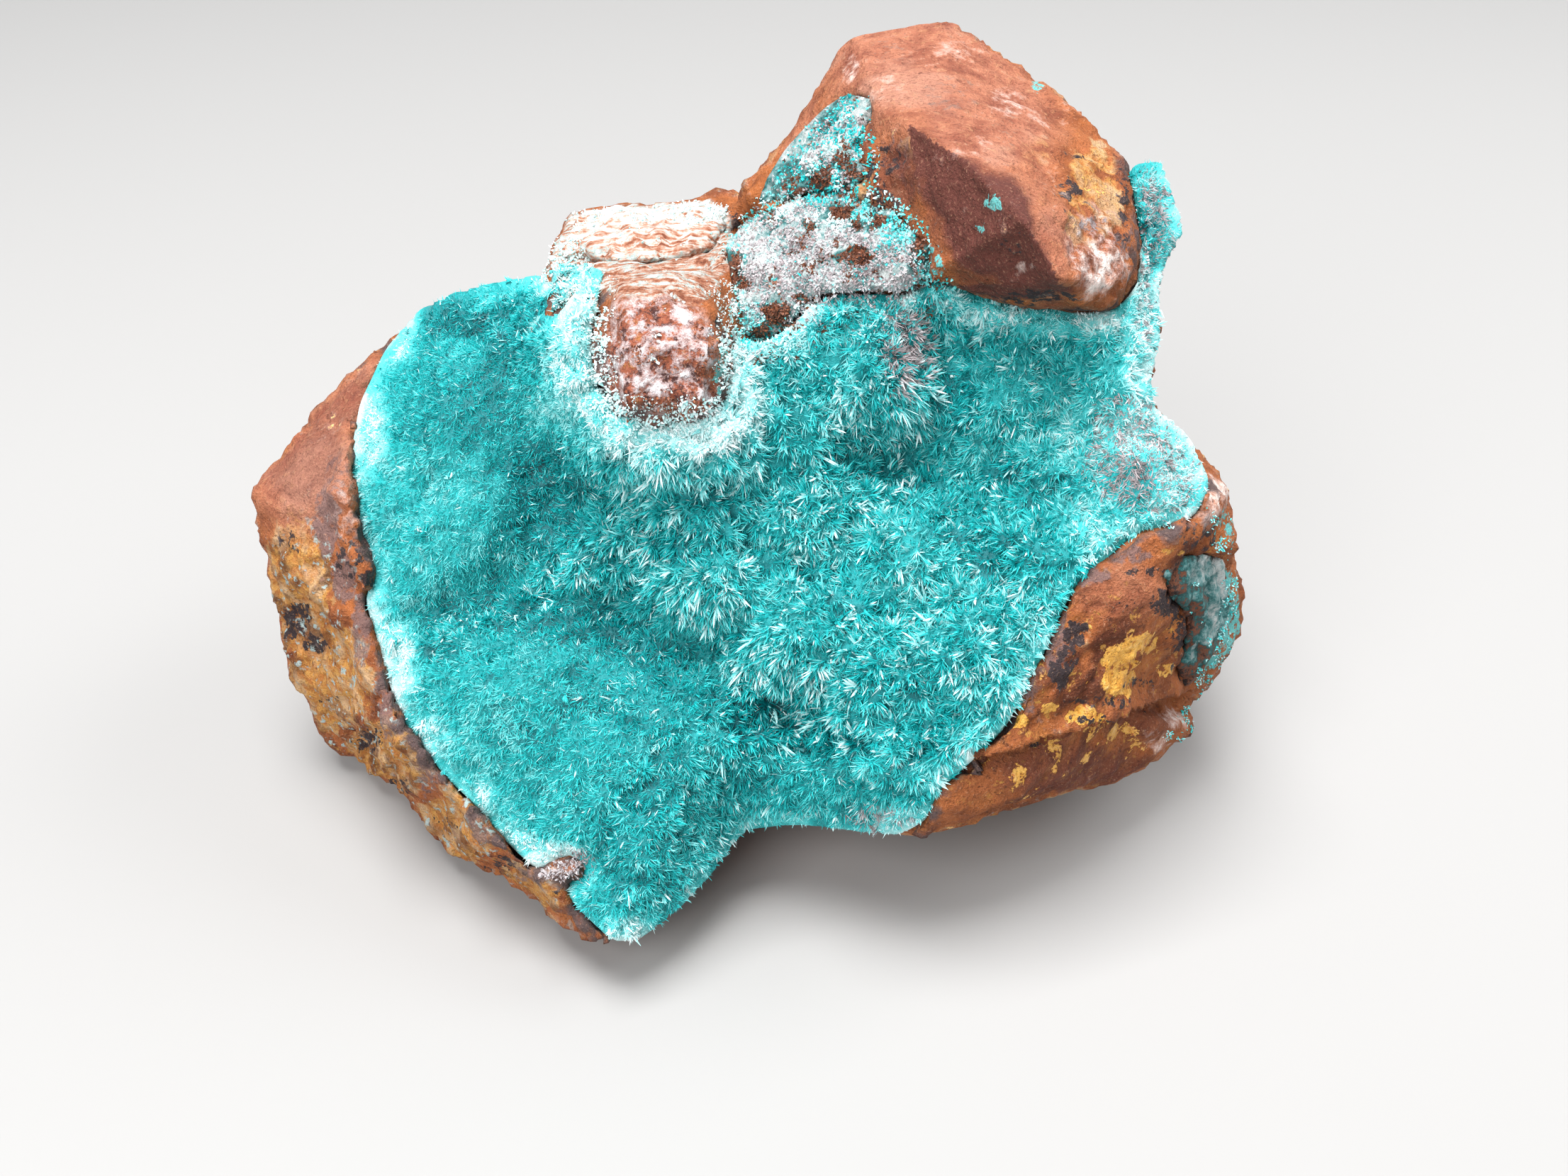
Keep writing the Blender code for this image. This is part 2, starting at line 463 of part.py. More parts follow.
def fit_outline(mesh):
    """Moves the stone sideways in the front view until its outline is the one seen."""
    places = [in_view(vertex.co) for vertex in mesh.vertices]
    polar = []
    reached = [0.0] * STAR_STEPS
    for across, up, near in places:
        angle = math.atan2(up - STAR_CENTRE[1], across - STAR_CENTRE[0]) % math.tau
        reach = math.hypot(across - STAR_CENTRE[0], up - STAR_CENTRE[1])
        step = int(angle / math.tau * STAR_STEPS) % STAR_STEPS
        reached[step] = max(reached[step], reach)
        polar.append((angle, reach))
    wanted = []
    for step in range(STAR_STEPS):
        angle = (step + 0.5) / STAR_STEPS * math.tau
        wanted.append((outline_reach(OUTLINE, angle) - free_inset(angle)) / reached[step])
    for vertex, place, (angle, reach) in zip(mesh.vertices, places, polar):
        spot = angle / math.tau * STAR_STEPS - 0.5
        low = math.floor(spot)
        share = spot - low
        low = low % STAR_STEPS
        high = (low + 1) % STAR_STEPS
        ratio = wanted[low] * (1.0 - share) + wanted[high] * share
        limit = reached[low] * (1.0 - share) + reached[high] * share
        pull = min(1.0, max(0.0, reach / limit - FIT_FROM) / (1.0 - FIT_FROM))
        scale = 1.0 + (ratio - 1.0) * pull * pull
        across = STAR_CENTRE[0] + (place[0] - STAR_CENTRE[0]) * scale
        up = STAR_CENTRE[1] + (place[1] - STAR_CENTRE[1]) * scale
        vertex.co = seen(across, up, place[2])


def side_near(across, up):
    """Nearness of the flat side of the peak at a place, or nothing beside it."""
    for side in PEAK_SIDES:
        a, b, c = (PEAK_CORNERS[index] for index in side)
        turn = (b[0] - a[0]) * (c[1] - a[1]) - (c[0] - a[0]) * (b[1] - a[1])
        second = ((across - a[0]) * (c[1] - a[1]) - (c[0] - a[0]) * (up - a[1])) / turn
        third = ((b[0] - a[0]) * (up - a[1]) - (across - a[0]) * (b[1] - a[1])) / turn
        if second >= 0.0 and third >= 0.0 and second + third <= 1.0:
            return a[2] + second * (b[2] - a[2]) + third * (c[2] - a[2])
    return None


def break_peak(mesh):
    """Draws the front of the peak to its flat sides."""
    eye = seen(0.0, 0.0, SIGHT_REACH)
    border = [PEAK_CORNERS[index] for index in PEAK_BORDER]
    moved = []
    for vertex in mesh.vertices:
        moved.append(vertex.co.copy())
        across, up, near = in_view(vertex.co)
        flat = side_near(across, up)
        if flat is None or abs(flat - near) > FACET_LIMIT:
            continue
        if vertex.normal.dot(eye - vertex.co) <= 0.0:
            continue
        gap = min(segment_distance(across, up, border[i - 1], border[i])[0]
                  for i in range(len(border)))
        pull = FACET_SHARE * min(1.0, gap / FACET_BLEND)
        moved[-1] = seen(across, up, near + (flat - near) * pull)
    place_vertices(mesh, moved)


def dent(mesh):
    """Shallow holes in the outer wall."""
    eye = seen(0.0, 0.0, SIGHT_REACH)
    moved = []
    for vertex in mesh.vertices:
        across, up, near = in_view(vertex.co)
        depth = 0.0
        for side, rise, radius in PITS:
            gap = math.hypot(across - side, up - rise) / radius
            if gap < 1.0 and vertex.normal.dot(eye - vertex.co) > 0.0:
                depth = max(depth, (1.0 - gap * gap) * PIT_DEPTH)
        moved.append(vertex.co - vertex.normal * depth)
    place_vertices(mesh, moved)


def thin_out(block):
    total = len(block.data.polygons) * 2
    slim = block.modifiers.new("slim", "DECIMATE")
    slim.ratio = MATRIX_FACES / total
    slim.use_collapse_triangulate = True
    bake(block)


def segment_distance(across, up, start, end):
    ax, ay = start[0], start[1]
    dx, dy = end[0] - ax, end[1] - ay
    share = ((across - ax) * dx + (up - ay) * dy) / (dx * dx + dy * dy)
    share = min(1.0, max(0.0, share))
    return math.hypot(across - ax - dx * share, up - ay - dy * share), share


def edge_state(edge, across, up):
    """Distance to an edge, with the nearness and freedom of the closest place on it."""
    best = (1e9, 0.0, 0.0)
    count = len(edge)
    for index in range(count):
        start = edge[index]
        end = edge[(index + 1) % count]
        gap, share = segment_distance(across, up, start, end)
        if gap < best[0]:
            near = start[2] + (end[2] - start[2]) * share
            free = start[3] + (end[3] - start[3]) * share
            best = (gap, near, free)
    return best


def swell_near(across, up):
    """Nearness of the swollen crust face away from its edge."""
    total = math.exp(SWELL_FLOOR / SWELL_BLEND)
    for side, rise, half_wide, half_high, top, drop in SWELLS:
        spread = ((across - side) / half_wide) ** 2 + ((up - rise) / half_high) ** 2
        total += math.exp(max(SWELL_FLOOR * 2.0, top - drop * spread) / SWELL_BLEND)
    return SWELL_BLEND * math.log(total)


def crust_near(across, up):
    """Nearness of the crust face, drawn to the rim along its edge."""
    gap, near, free = edge_state(CRUST_EDGE, across, up)
    pull = max(0.0, 1.0 - gap / EDGE_BLEND)
    pull = pull * pull * (3.0 - 2.0 * pull)
    inner = swell_near(across, up)
    return inner + (near - inner) * pull


def inside(edge, across, up):
    within = False
    count = len(edge)
    for index in range(count):
        ax, ay = edge[index][0], edge[index][1]
        bx, by = edge[(index + 1) % count][0], edge[(index + 1) % count][1]
        if (ay > up) != (by > up) and across < (bx - ax) * (up - ay) / (by - ay) + ax:
            within = not within
    return within


def walk_edge(edge, step):
    """Places along an edge about one step apart."""
    places = []
    count = len(edge)
    for index in range(count):
        start = edge[index]
        end = edge[(index + 1) % count]
        length = math.hypot(end[0] - start[0], end[1] - start[1])
        parts = max(1, round(length / step))
        for part in range(parts):
            share = part / parts
            places.append(tuple(a + (b - a) * share for a, b in zip(start, end)))
    return places


def turn_of(edge):
    """One for an edge that runs clockwise, minus one for the other way."""
    twice = 0.0
    for index in range(len(edge)):
        twice += edge[index - 1][0] * edge[index][1] - edge[index][0] * edge[index - 1][1]
    return -1.0 if twice > 0.0 else 1.0


def widen(edge, amount):
    """Edge moved outward by an amount, given as across and up."""
    moved = []
    count = len(edge)
    amount = amount * turn_of(edge)
    for index in range(count):
        before = edge[index - 1]
        place = edge[index]
        after = edge[(index + 1) % count]
        first = Vector((place[0] - before[0], place[1] - before[1])).normalized()
        second = Vector((after[0] - place[0], after[1] - place[1])).normalized()
        outward = Vector((-first.y - second.y, first.x + second.x))
        if outward.length < CORNER_SHARP:
            outward = Vector((-first.y, first.x))
        outward.normalize()
        lean = max(CORNER_LEAN, outward.dot(Vector((-first.y, first.x))))
        moved.append((place[0] + outward.x * amount / lean, place[1] + outward.y * amount / lean))
    return moved


def lattice(edge, step, margin):
    """Inner places in a triangular pattern, with the class of each place in threes."""
    low_across = min(place[0] for place in edge)
    high_across = max(place[0] for place in edge)
    low_up = min(place[1] for place in edge)
    high_up = max(place[1] for place in edge)
    places = []
    row = 0
    up = low_up
    while up < high_up:
        across = low_across + (0.5 * step if row % 2 else 0.0)
        column = 0
        while across < high_across:
            spot = Vector((across, up, 0.0))
            drift = step * LATTICE_DRIFT
            side = across + drift * noise.noise(spot * LATTICE_SCALE)
            rise = up + drift * noise.noise(spot * LATTICE_SCALE + LATTICE_SHIFT)
            kind = (column + (row % 2) * 2) % 3
            if inside(edge, side, rise):
                gap = min(segment_distance(side, rise, edge[i - 1], edge[i])[0]
                          for i in range(len(edge)))
                if gap > margin:
                    places.append((side, rise, kind))
            across += step
            column += 1
        up += step * math.sqrt(0.75)
        row += 1
    return places


def triangles(border, inner):
    """Triangles that fill a border, through all inner places."""
    points = [Vector((place[0], place[1])) for place in border + inner]
    loop = [list(range(len(border)))]
    result = delaunay_2d_cdt(points, [], loop, 1, 1e-6)
    return result[0], result[2]


def skin_solid(border, front_inner, back_inner, front_near, back_near, name, group):
    """Closed solid between a front and a back face with the same border."""
    bm = bmesh.new()
    count = len(border)
    front_points, front_faces = triangles(border, front_inner)
    back_points, back_faces = triangles(border, back_inner)
    front = [bm.verts.new(seen(p.x, p.y, front_near(p.x, p.y, i >= count, i - count)))
             for i, p in enumerate(front_points)]
    back = [bm.verts.new(seen(p.x, p.y, back_near(p.x, p.y))) for p in back_points]
    for face in front_faces:
        bm.faces.new([front[index] for index in face])
    for face in back_faces:
        bm.faces.new([back[index] for index in reversed(face)])
    for index in range(count):
        after = (index + 1) % count
        bm.faces.new([front[index], back[index], back[after]])
        bm.faces.new([front[index], back[after], front[after]])
    bmesh.ops.recalc_face_normals(bm, faces=bm.faces)
    return object_from(bm, name, group)


def crystal_height(across, up, kind, high):
    """Raised point of a crystal for one place in three, a low place otherwise."""
    if kind != 0:
        return 0.0
    spot = Vector((across * CRYSTAL_SCALE, up * CRYSTAL_SCALE, CRYSTAL_LAYER))
    return high * (1.0 + CRYSTAL_DRIFT * noise.noise(spot))


def rounding(gap, free):
    """Fall of a free edge of the crust."""
    if gap > EDGE_ROUND:
        return 0.0
    return free * EDGE_DROP * (1.0 - gap / EDGE_ROUND) ** 2


def crust_solid(group):
    border = [(row[0], row[1]) for row in walk_edge(CRUST_EDGE, CRUST_EDGE_STEP)]
    front_inner = lattice(border, CRUST_STEP, CRUST_STEP * FRONT_MARGIN)
    back_inner = lattice(border, CRUST_BACK_STEP, CRUST_BACK_STEP * BACK_MARGIN)

    def front_near(across, up, is_inner, index):
        gap, near, free = edge_state(CRUST_EDGE, across, up)
        base = crust_near(across, up) - rounding(gap, free)
        if not is_inner:
            return base
        return base + crystal_height(across, up, front_inner[index][2], CRYSTAL_HIGH)

    def back_near(across, up):
        return crust_near(across, up) - CRUST_THICK

    return skin_solid(border, front_inner, back_inner, front_near, back_near,
                      "aurichalcite_crust", group)


def seat_cutter(edge, floor_near, step, name, group):
    """Cutter that opens the stone from a seat floor out towards the viewer."""
    wide = widen(edge, SEAT_GAP)
    back_inner = lattice(edge, step, step * BACK_MARGIN)
    cutter = skin_solid(wide, [], back_inner, lambda a, u, i, n: COVER_OUT, floor_near, name, group)
    cutter.hide_render = True
    cutter.display_type = "WIRE"
    return cutter


def crust_seat(group):
    border = [(row[0], row[1]) for row in walk_edge(CRUST_EDGE, CRUST_EDGE_STEP)]
    return seat_cutter(border, lambda a, u: crust_near(a, u) - CRUST_THICK - SEAT_DEEP,
                       CRUST_BACK_STEP, "crust_seat", group)


def stone_probe(block):
    """Gives the nearness of the stone in the front view at any place."""
    bm = bmesh.new()
    bm.from_mesh(block.data)
    tree = BVHTree.FromBMesh(bm)
    bm.free()
    eye = seen(0.0, 0.0, SIGHT_REACH)

    def near_at(across, up):
        aim = (seen(across, up, 0.0) - eye).normalized()
        hit = tree.ray_cast(eye, aim)[0]
        if hit is None:
            return None
        return in_view(hit)[2]

    return near_at


def patch_face(edge, probe):
    """Smooth nearness of the stone under a patch, from the places that the stone fills."""
    places = [(a, u) for a, u, kind in lattice(edge, PATCH_EDGE_STEP, 0.0)]
    places += [(row[0], row[1]) for row in edge]
    known = [(a, u, probe(a, u)) for a, u in places]
    known = [row for row in known if row[2] is not None]

    def near_at(across, up):
        weight_sum = 0.0
        value_sum = 0.0
        for side, rise, near in known:
            gap = (across - side) ** 2 + (up - rise) ** 2
            weight = 1.0 / (gap + PATCH_SOFTNESS) ** 2
            weight_sum += weight
            value_sum += weight * near
        return value_sum / weight_sum

    return near_at


def patch_solid(edge, face, raise_by, high, name, group):
    border = walk_edge(edge, PATCH_EDGE_STEP)
    front_inner = lattice(border, PATCH_STEP, PATCH_STEP * FRONT_MARGIN)
    back_inner = lattice(border, PATCH_BACK_STEP, PATCH_BACK_STEP * BACK_MARGIN)

    def front_near(across, up, is_inner, index):
        if not is_inner:
            return face(across, up) + PATCH_RIM
        return face(across, up) + raise_by + crystal_height(across, up, front_inner[index][2], high)

    return skin_solid(border, front_inner, back_inner, front_near,
                      lambda a, u: face(a, u) - PATCH_DEEP, name, group)


def patch_seat(edge, face, deep, name, group):
    border = walk_edge(edge, PATCH_EDGE_STEP)
    return seat_cutter(border, lambda a, u: face(a, u) - PATCH_DEEP - deep,
                       PATCH_BACK_STEP, name, group)


def rest_cutter(group):
    """Block under the resting height."""
    bm = bmesh.new()
    made = bmesh.ops.create_cube(bm, size=1.0)
    bmesh.ops.scale(bm, verts=made["verts"], vec=(REST_WIDE, REST_WIDE, REST_SLAB))
    bmesh.ops.translate(bm, verts=made["verts"], vec=(0.0, 0.0, -REST_SLAB / 2.0))
    cutter = object_from(bm, "rest_cut", group)
    cutter.hide_render = True
    cutter.display_type = "WIRE"
    return cutter


def cut(block, cutter):
    opening = block.modifiers.new(cutter.name, "BOOLEAN")
    opening.operation = "DIFFERENCE"
    opening.solver = "EXACT"
    opening.object = cutter


def drop_crumbs(item):
    """Keeps only the largest closed body of an object."""
    bm = bmesh.new()
    bm.from_mesh(item.data)
    left = set(bm.verts)
    bodies = []
    while left:
        reached = {left.pop()}
        front = list(reached)
        while front:
            vert = front.pop()
            for edge in vert.link_edges:
                other = edge.other_vert(vert)
                if other not in reached:
                    reached.add(other)
                    front.append(other)
        left -= reached
        bodies.append(reached)
    bodies.sort(key=len)
    for crumb in bodies[:-1]:
        bmesh.ops.delete(bm, geom=list(crumb), context="VERTS")
    bm.to_mesh(item.data)
    bm.free()


def to_metres(item):
    for vertex in item.data.vertices:
        vertex.co = vertex.co * MM


def main():
    clear_scene()
    group = new_collection(OBJECT_NAME)
    cutters = new_collection("cutters")
    block = rough_block(group)
    roughen(block.data)
    fit_outline(block.data)
    break_peak(block.data)
    dent(block.data)
    thin_out(block)
    probe = stone_probe(block)

    crust = crust_solid(group)
    parts = [block, crust]
    tools = [crust_seat(cutters)]
    for name, edge, raise_by, high, deep in PATCHES:
        face = patch_face(edge, probe)
        parts.append(patch_solid(edge, face, raise_by, high, name, group))
        tools.append(patch_seat(edge, face, deep, name + "_seat", cutters))
    tools.append(rest_cutter(cutters))
    for cutter in tools:
        cut(block, cutter)
    bake(block)
    drop_crumbs(block)
    for item in parts + tools:
        to_metres(item)

    finishes = {
        "limonite_matrix": finish_material("limonite", LIMONITE, 0.8),
        "aurichalcite_crust": finish_material("aurichalcite", TEAL, 0.45),
        "grey_druse": finish_material("druse", GREY_VIOLET, 0.3),
        "flank_crust": finish_material("pale_flank_crust", PALE_TEAL, 0.7),
        "shelf_crust": finish_material("pale_shelf_crust", PALE_TEAL, 0.7),
        "slab_crust": finish_material("pale_slab_crust", PALE_TEAL, 0.7),
    }
    for item in parts:
        item.data.materials.clear()
        item.data.materials.append(finishes[item.name])


main()
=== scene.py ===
# Looks of the aurichalcite specimen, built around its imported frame

import itertools
import math
from types import SimpleNamespace

import bmesh
import bpy
import numpy as np
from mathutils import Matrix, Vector
from mathutils.bvhtree import BVHTree
from mathutils.kdtree import KDTree


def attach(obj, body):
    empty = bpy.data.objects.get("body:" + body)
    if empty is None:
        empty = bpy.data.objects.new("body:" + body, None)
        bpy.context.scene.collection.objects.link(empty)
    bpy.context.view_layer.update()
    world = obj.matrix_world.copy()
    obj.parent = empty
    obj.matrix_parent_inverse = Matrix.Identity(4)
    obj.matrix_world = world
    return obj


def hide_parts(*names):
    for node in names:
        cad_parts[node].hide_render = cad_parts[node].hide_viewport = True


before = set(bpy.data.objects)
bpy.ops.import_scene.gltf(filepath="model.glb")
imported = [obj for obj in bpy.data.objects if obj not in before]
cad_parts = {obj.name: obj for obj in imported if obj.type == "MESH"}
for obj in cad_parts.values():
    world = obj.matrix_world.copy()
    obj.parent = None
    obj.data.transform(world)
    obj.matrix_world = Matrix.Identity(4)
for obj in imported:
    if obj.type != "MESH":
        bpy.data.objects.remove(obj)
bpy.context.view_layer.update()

MM = 0.001

# Front view of the photograph: the eye over the table, in mm
EYE_HEIGHT = 75.0
SIGHT_DOWN = math.radians(37.0)
SIGHT_REACH = 90.0
HOME = np.array((-2.12, 82.68, 0.0))
LENS_MM = 36.39
SENSOR_MM = 36.0

# Grain of the surfaces, in mm
STONE_VOXEL = 0.5
CRUST_VOXEL = 0.4
PATCH_VOXEL = 0.25

# Needle sprays: how fine the crystals are at places in the front view, as across, up, radii, share
FINE_ZONES = [
    (-18.5, 8.5, 8.5, 9.5, 0.95), (-20.0, 1.5, 6.0, 5.0, 0.95), (-13.5, -6.5, 9.5, 6.5, 0.85),
    (-16.0, -11.0, 6.0, 5.0, 0.8), (-8.5, -14.5, 7.0, 7.0, 0.6), (2.0, -11.8, 6.0, 2.6, 0.5),
    (14.5, 11.0, 5.0, 5.0, 0.3), (20.5, 20.0, 3.0, 5.0, 0.8), (21.5, 7.0, 4.0, 4.0, 0.7),
]
# Pale and white crystals, as across, up, radii, share
PALE_ZONES = [
    (-11.3, 13.0, 2.4, 5.2, 0.8), (-10.8, 17.2, 2.6, 1.6, 0.7), (-12.6, 10.0, 2.2, 2.0, 0.45),
    (-8.2, 8.9, 4.2, 1.7, 0.85), (-4.6, 8.9, 3.0, 2.0, 1.15), (-2.5, 12.8, 1.3, 3.8, 0.9),
    (-2.2, 10.2, 1.8, 2.4, 0.9), (-23.9, 10.0, 1.3, 3.6, 0.6), (-23.0, 13.6, 2.0, 1.4, 0.6),
    (-23.3, -3.6, 1.3, 3.4, 0.75), (-22.0, -5.8, 1.1, 2.6, 0.55), (-19.6, -9.8, 1.2, 2.4, 0.35),
    (-16.6, -13.2, 1.4, 1.6, 0.35), (-13.8, -15.6, 2.0, 1.0, 0.6), (-23.9, 8.2, 1.6, 1.6, 0.8),
    (20.6, 8.9, 2.8, 1.9, 0.8), (22.8, 7.2, 2.0, 2.0, 0.75), (22.4, 4.8, 2.2, 1.3, 0.7),
    (20.4, 13.2, 1.4, 3.4, 0.8), (18.0, 15.2, 2.4, 1.0, 0.75), (20.6, 17.0, 1.1, 2.0, 0.7),
    (21.6, 23.2, 1.6, 0.8, 0.6), (22.4, 20.0, 0.7, 2.4, 0.6), (15.0, 15.0, 2.4, 0.8, 0.5),
    (6.8, -13.2, 2.2, 0.9, 0.65), (-8.9, -19.5, 1.5, 1.0, 0.75), (-0.4, 13.9, 2.0, 0.9, 0.6),
    (13.2, 15.4, 3.8, 0.9, 0.4), (-14.0, 17.4, 2.2, 0.7, 0.5), (-17.5, 16.9, 4.0, 0.8, 0.25),
    (17.6, 8.4, 2.6, 2.2, 0.4), (18.0, 4.2, 2.4, 2.2, 0.4), (14.6, -4.2, 1.2, 3.6, 0.3),
    (9.8, -10.6, 2.4, 1.2, 0.35), (-5.6, 6.6, 4.4, 1.4, 0.3), (-22.3, -4.2, 1.7, 2.6, 0.9),
    (-20.2, -8.6, 1.3, 1.8, 0.6), (-17.6, -12.0, 1.5, 1.5, 0.55), (-15.4, -14.2, 1.6, 1.1, 0.65),
    (-13.2, -15.2, 1.8, 0.9, 0.95), (-24.0, 9.2, 1.6, 2.6, 0.8),
]
# Glinting clusters, where blades and needles are painted white as highlights, as across, up, radii,
# share
PAINTED_GLINT_ZONES = [
    (-4.6, -0.6, 2.2, 1.4, 1.0), (-6.0, 0.4, 1.8, 1.0, 0.9), (1.6, -5.2, 2.6, 1.2, 1.0),
    (-1.4, -4.6, 2.2, 1.2, 0.8), (8.6, -0.6, 1.8, 1.6, 0.9), (3.4, 10.4, 1.8, 1.4, 0.9),
    (-8.0, 3.6, 2.6, 2.0, 0.8), (11.5, -5.0, 2.6, 2.4, 0.7), (-17.8, -2.0, 2.6, 1.4, 0.8),
    (-12.6, 0.4, 2.0, 1.2, 0.7), (7.0, 11.6, 2.0, 2.6, 0.8), (15.0, 9.0, 2.2, 2.2, 0.6),
    (3.0, 4.0, 3.0, 2.6, 0.6), (9.4, -8.2, 2.2, 1.4, 0.8), (-11.4, -5.2, 2.4, 1.2, 0.5),
    (-8.8, -6.4, 2.0, 1.0, 0.5), (2.2, -8.2, 3.0, 1.4, 0.7), (-4.0, -15.6, 2.6, 2.6, 0.4),
    (13.6, -1.6, 2.0, 2.0, 0.6), (5.6, -3.0, 3.0, 2.2, 0.6), (-8.0, 6.6, 3.0, 1.4, 0.7),
]
# Hollows, sunk into the crust and darkened mostly with painted shade, as across, up, radii, share
SHADED_HOLLOW_ZONES = [
    (-13.4, 5.4, 2.4, 4.4, 0.7), (-12.0, 8.6, 2.4, 1.6, 0.6), (-16.8, -1.4, 4.0, 1.3, 0.6),
    (-11.6, -2.2, 3.6, 1.1, 0.6), (-0.2, -7.2, 3.0, 1.3, 1.0), (2.6, -8.8, 2.2, 1.0, 0.8),
    (9.6, 10.6, 1.6, 2.2, 0.7), (12.8, 6.4, 1.4, 1.2, 0.7), (11.8, 14.0, 3.6, 1.2, 0.35),
    (-9.6, 6.0, 3.4, 1.3, 0.5), (-5.8, 2.4, 2.6, 1.2, 0.5), (8.8, -9.4, 1.6, 0.8, 0.5),
    (10.6, 3.2, 1.6, 1.0, 0.35), (-17.0, 10.0, 5.0, 2.6, 0.3), (20.9, 21.4, 1.2, 1.7, 0.9),
    (-4.2, 5.2, 2.4, 0.8, 0.45), (4.6, -1.6, 2.6, 0.8, 0.5), (6.4, 6.4, 2.6, 0.8, 0.45),
    (-7.4, -3.6, 3.0, 0.8, 0.5), (0.8, 1.2, 2.4, 0.7, 0.45), (12.2, 1.4, 1.0, 2.2, 0.4),
    (4.4, -4.4, 1.8, 0.7, 0.5), (15.8, 5.8, 1.6, 0.8, 0.4), (-14.6, 12.6, 1.4, 2.6, 0.4),
    (6.6, 12.6, 1.2, 1.6, 0.4), (-20.4, -3.6, 2.0, 0.9, 0.35), (-1.6, -11.0, 3.2, 0.8, 0.4),
    (-17.5, 15.8, 5.5, 1.8, 0.7), (-12.0, -7.0, 2.6, 0.7, 0.3), (9.0, 3.6, 1.0, 1.8, 0.4),
]
# Painted light: parts of the crust made lighter, most where the peak's shadow falls and on the left
# lobe, as across, up, radii, share
PAINTED_LIGHT_ZONES = [
    (-20.5, 3.4, 4.6, 5.6, 0.9), (-16.0, -8.0, 7.0, 5.0, 0.35), (12.6, 14.8, 5.0, 2.6, 1.0),
    (12.0, 10.4, 5.5, 3.6, 0.75), (16.6, 8.6, 3.6, 4.6, 0.8), (2.0, 9.0, 6.0, 5.0, 0.35),
    (3.0, 1.0, 9.0, 6.0, 0.4), (-1.0, 13.0, 3.0, 2.0, 0.6), (-8.0, 13.0, 3.0, 6.0, 0.3),
]
# Grey and brown blades, as across, up, radii, share
DULL_ZONES = [
    (21.0, 7.6, 3.8, 3.4, 0.62), (23.6, 5.0, 1.8, 2.4, 0.6), (19.8, 9.6, 2.4, 1.4, 0.5),
    (21.2, 20.6, 1.8, 3.6, 0.55), (21.0, 15.8, 1.0, 3.0, 0.3), (20.6, 18.6, 0.9, 1.2, 0.6),
    (19.6, 6.2, 2.0, 1.5, 1.0), (7.0, 14.0, 1.5, 2.6, 0.75), (22.6, 4.2, 1.6, 0.8, 0.4),
    (21.0, 21.8, 1.2, 1.4, 0.8), (5.4, -13.0, 1.8, 0.9, 0.4), (-11.9, -15.8, 1.3, 1.0, 0.9),
]

# Flat broken sides of the peak: corners across, up and near, and sides by corner
PEAK_CORNERS = np.array([
    (3.4, 31.6, -9.5), (8.9, 32.3, -9.0), (12.6, 30.0, -7.5), (18.3, 25.4, -3.0),
    (19.9, 20.0, 1.6), (19.5, 16.6, 3.9), (7.0, 26.4, 2.2), (10.2, 24.3, 6.0),
    (13.6, 20.8, 9.3), (16.0, 16.9, 9.0), (13.5, 25.2, 2.3), (15.3, 21.2, 7.5),
    (17.1, 17.2, 7.6), (12.6, 16.9, 4.9), (8.8, 18.2, 3.3), (5.6, 22.4, -0.2),
    (4.6, 27.4, -1.6),
])
PEAK_SIDES = [
    (0, 1, 6), (1, 7, 6), (1, 2, 10), (1, 10, 7), (7, 10, 11), (7, 11, 8), (8, 11, 12),
    (8, 12, 9), (2, 3, 10), (3, 4, 11), (3, 11, 10), (4, 12, 11), (4, 5, 12), (6, 7, 14),
    (7, 8, 14), (8, 13, 14), (8, 9, 13), (6, 14, 15), (6, 15, 16), (0, 6, 16),
]
PEAK_BORDER = [0, 1, 2, 3, 4, 5, 12, 9, 13, 14, 15, 16]
# Sides of the peak darkened to red-brown, partly their own colour and partly painted shade
MAROON_AND_SHADE_SIDES = (13, 14, 15, 16)

# Field of small crystals between the crust and the flank of the peak, across and up
FIELD_EDGE = [
    (-3.4, 12.2), (-1.6, 11.8), (0.6, 12.4), (2.8, 13.4), (5.6, 14.0), (8.2, 14.4), (10.8, 15.6),
    (9.6, 17.6), (8.7, 18.5), (8.3, 20.4), (7.0, 22.0), (5.4, 23.0), (5.6, 24.6), (5.0, 26.4),
    (4.9, 28.0), (3.4, 28.3), (1.6, 26.8), (0.2, 25.0), (-1.2, 22.6), (-3.0, 20.9), (-4.0, 19.4),
    (-3.4, 17.4), (-3.2, 15.0),
]
# Brown spots in that field, as across, up, radii, share
BROWN_SPOTS = [
    (-3.0, 18.4, 0.9, 0.8, 1.0), (-2.6, 17.4, 0.6, 0.6, 0.9), (4.0, 18.9, 1.2, 0.6, 1.0),
    (-0.5, 15.6, 0.9, 0.8, 1.0), (0.4, 14.6, 0.7, 0.6, 0.9), (-1.3, 14.6, 0.5, 0.6, 0.8),
    (1.0, 16.4, 0.5, 0.4, 0.8), (3.2, 21.2, 0.8, 0.7, 0.9), (4.8, 20.8, 1.3, 0.6, 0.8),
    (5.6, 22.0, 0.9, 0.6, 0.9), (1.4, 20.6, 0.6, 0.4, 0.7), (10.4, 16.2, 0.9, 0.4, 0.8),
    (2.2, 23.4, 0.7, 0.7, 0.8), (0.6, 23.2, 0.5, 0.4, 0.7), (7.6, 19.0, 0.6, 1.2, 0.6),
    (3.4, 24.6, 0.6, 0.9, 0.9), (4.4, 23.6, 0.7, 0.8, 0.9), (-0.6, 21.0, 0.8, 0.5, 0.6),
    (1.2, 25.4, 0.4, 0.4, 0.5), (8.8, 17.4, 0.8, 0.5, 0.7), (6.4, 20.8, 0.5, 0.5, 0.6),
]
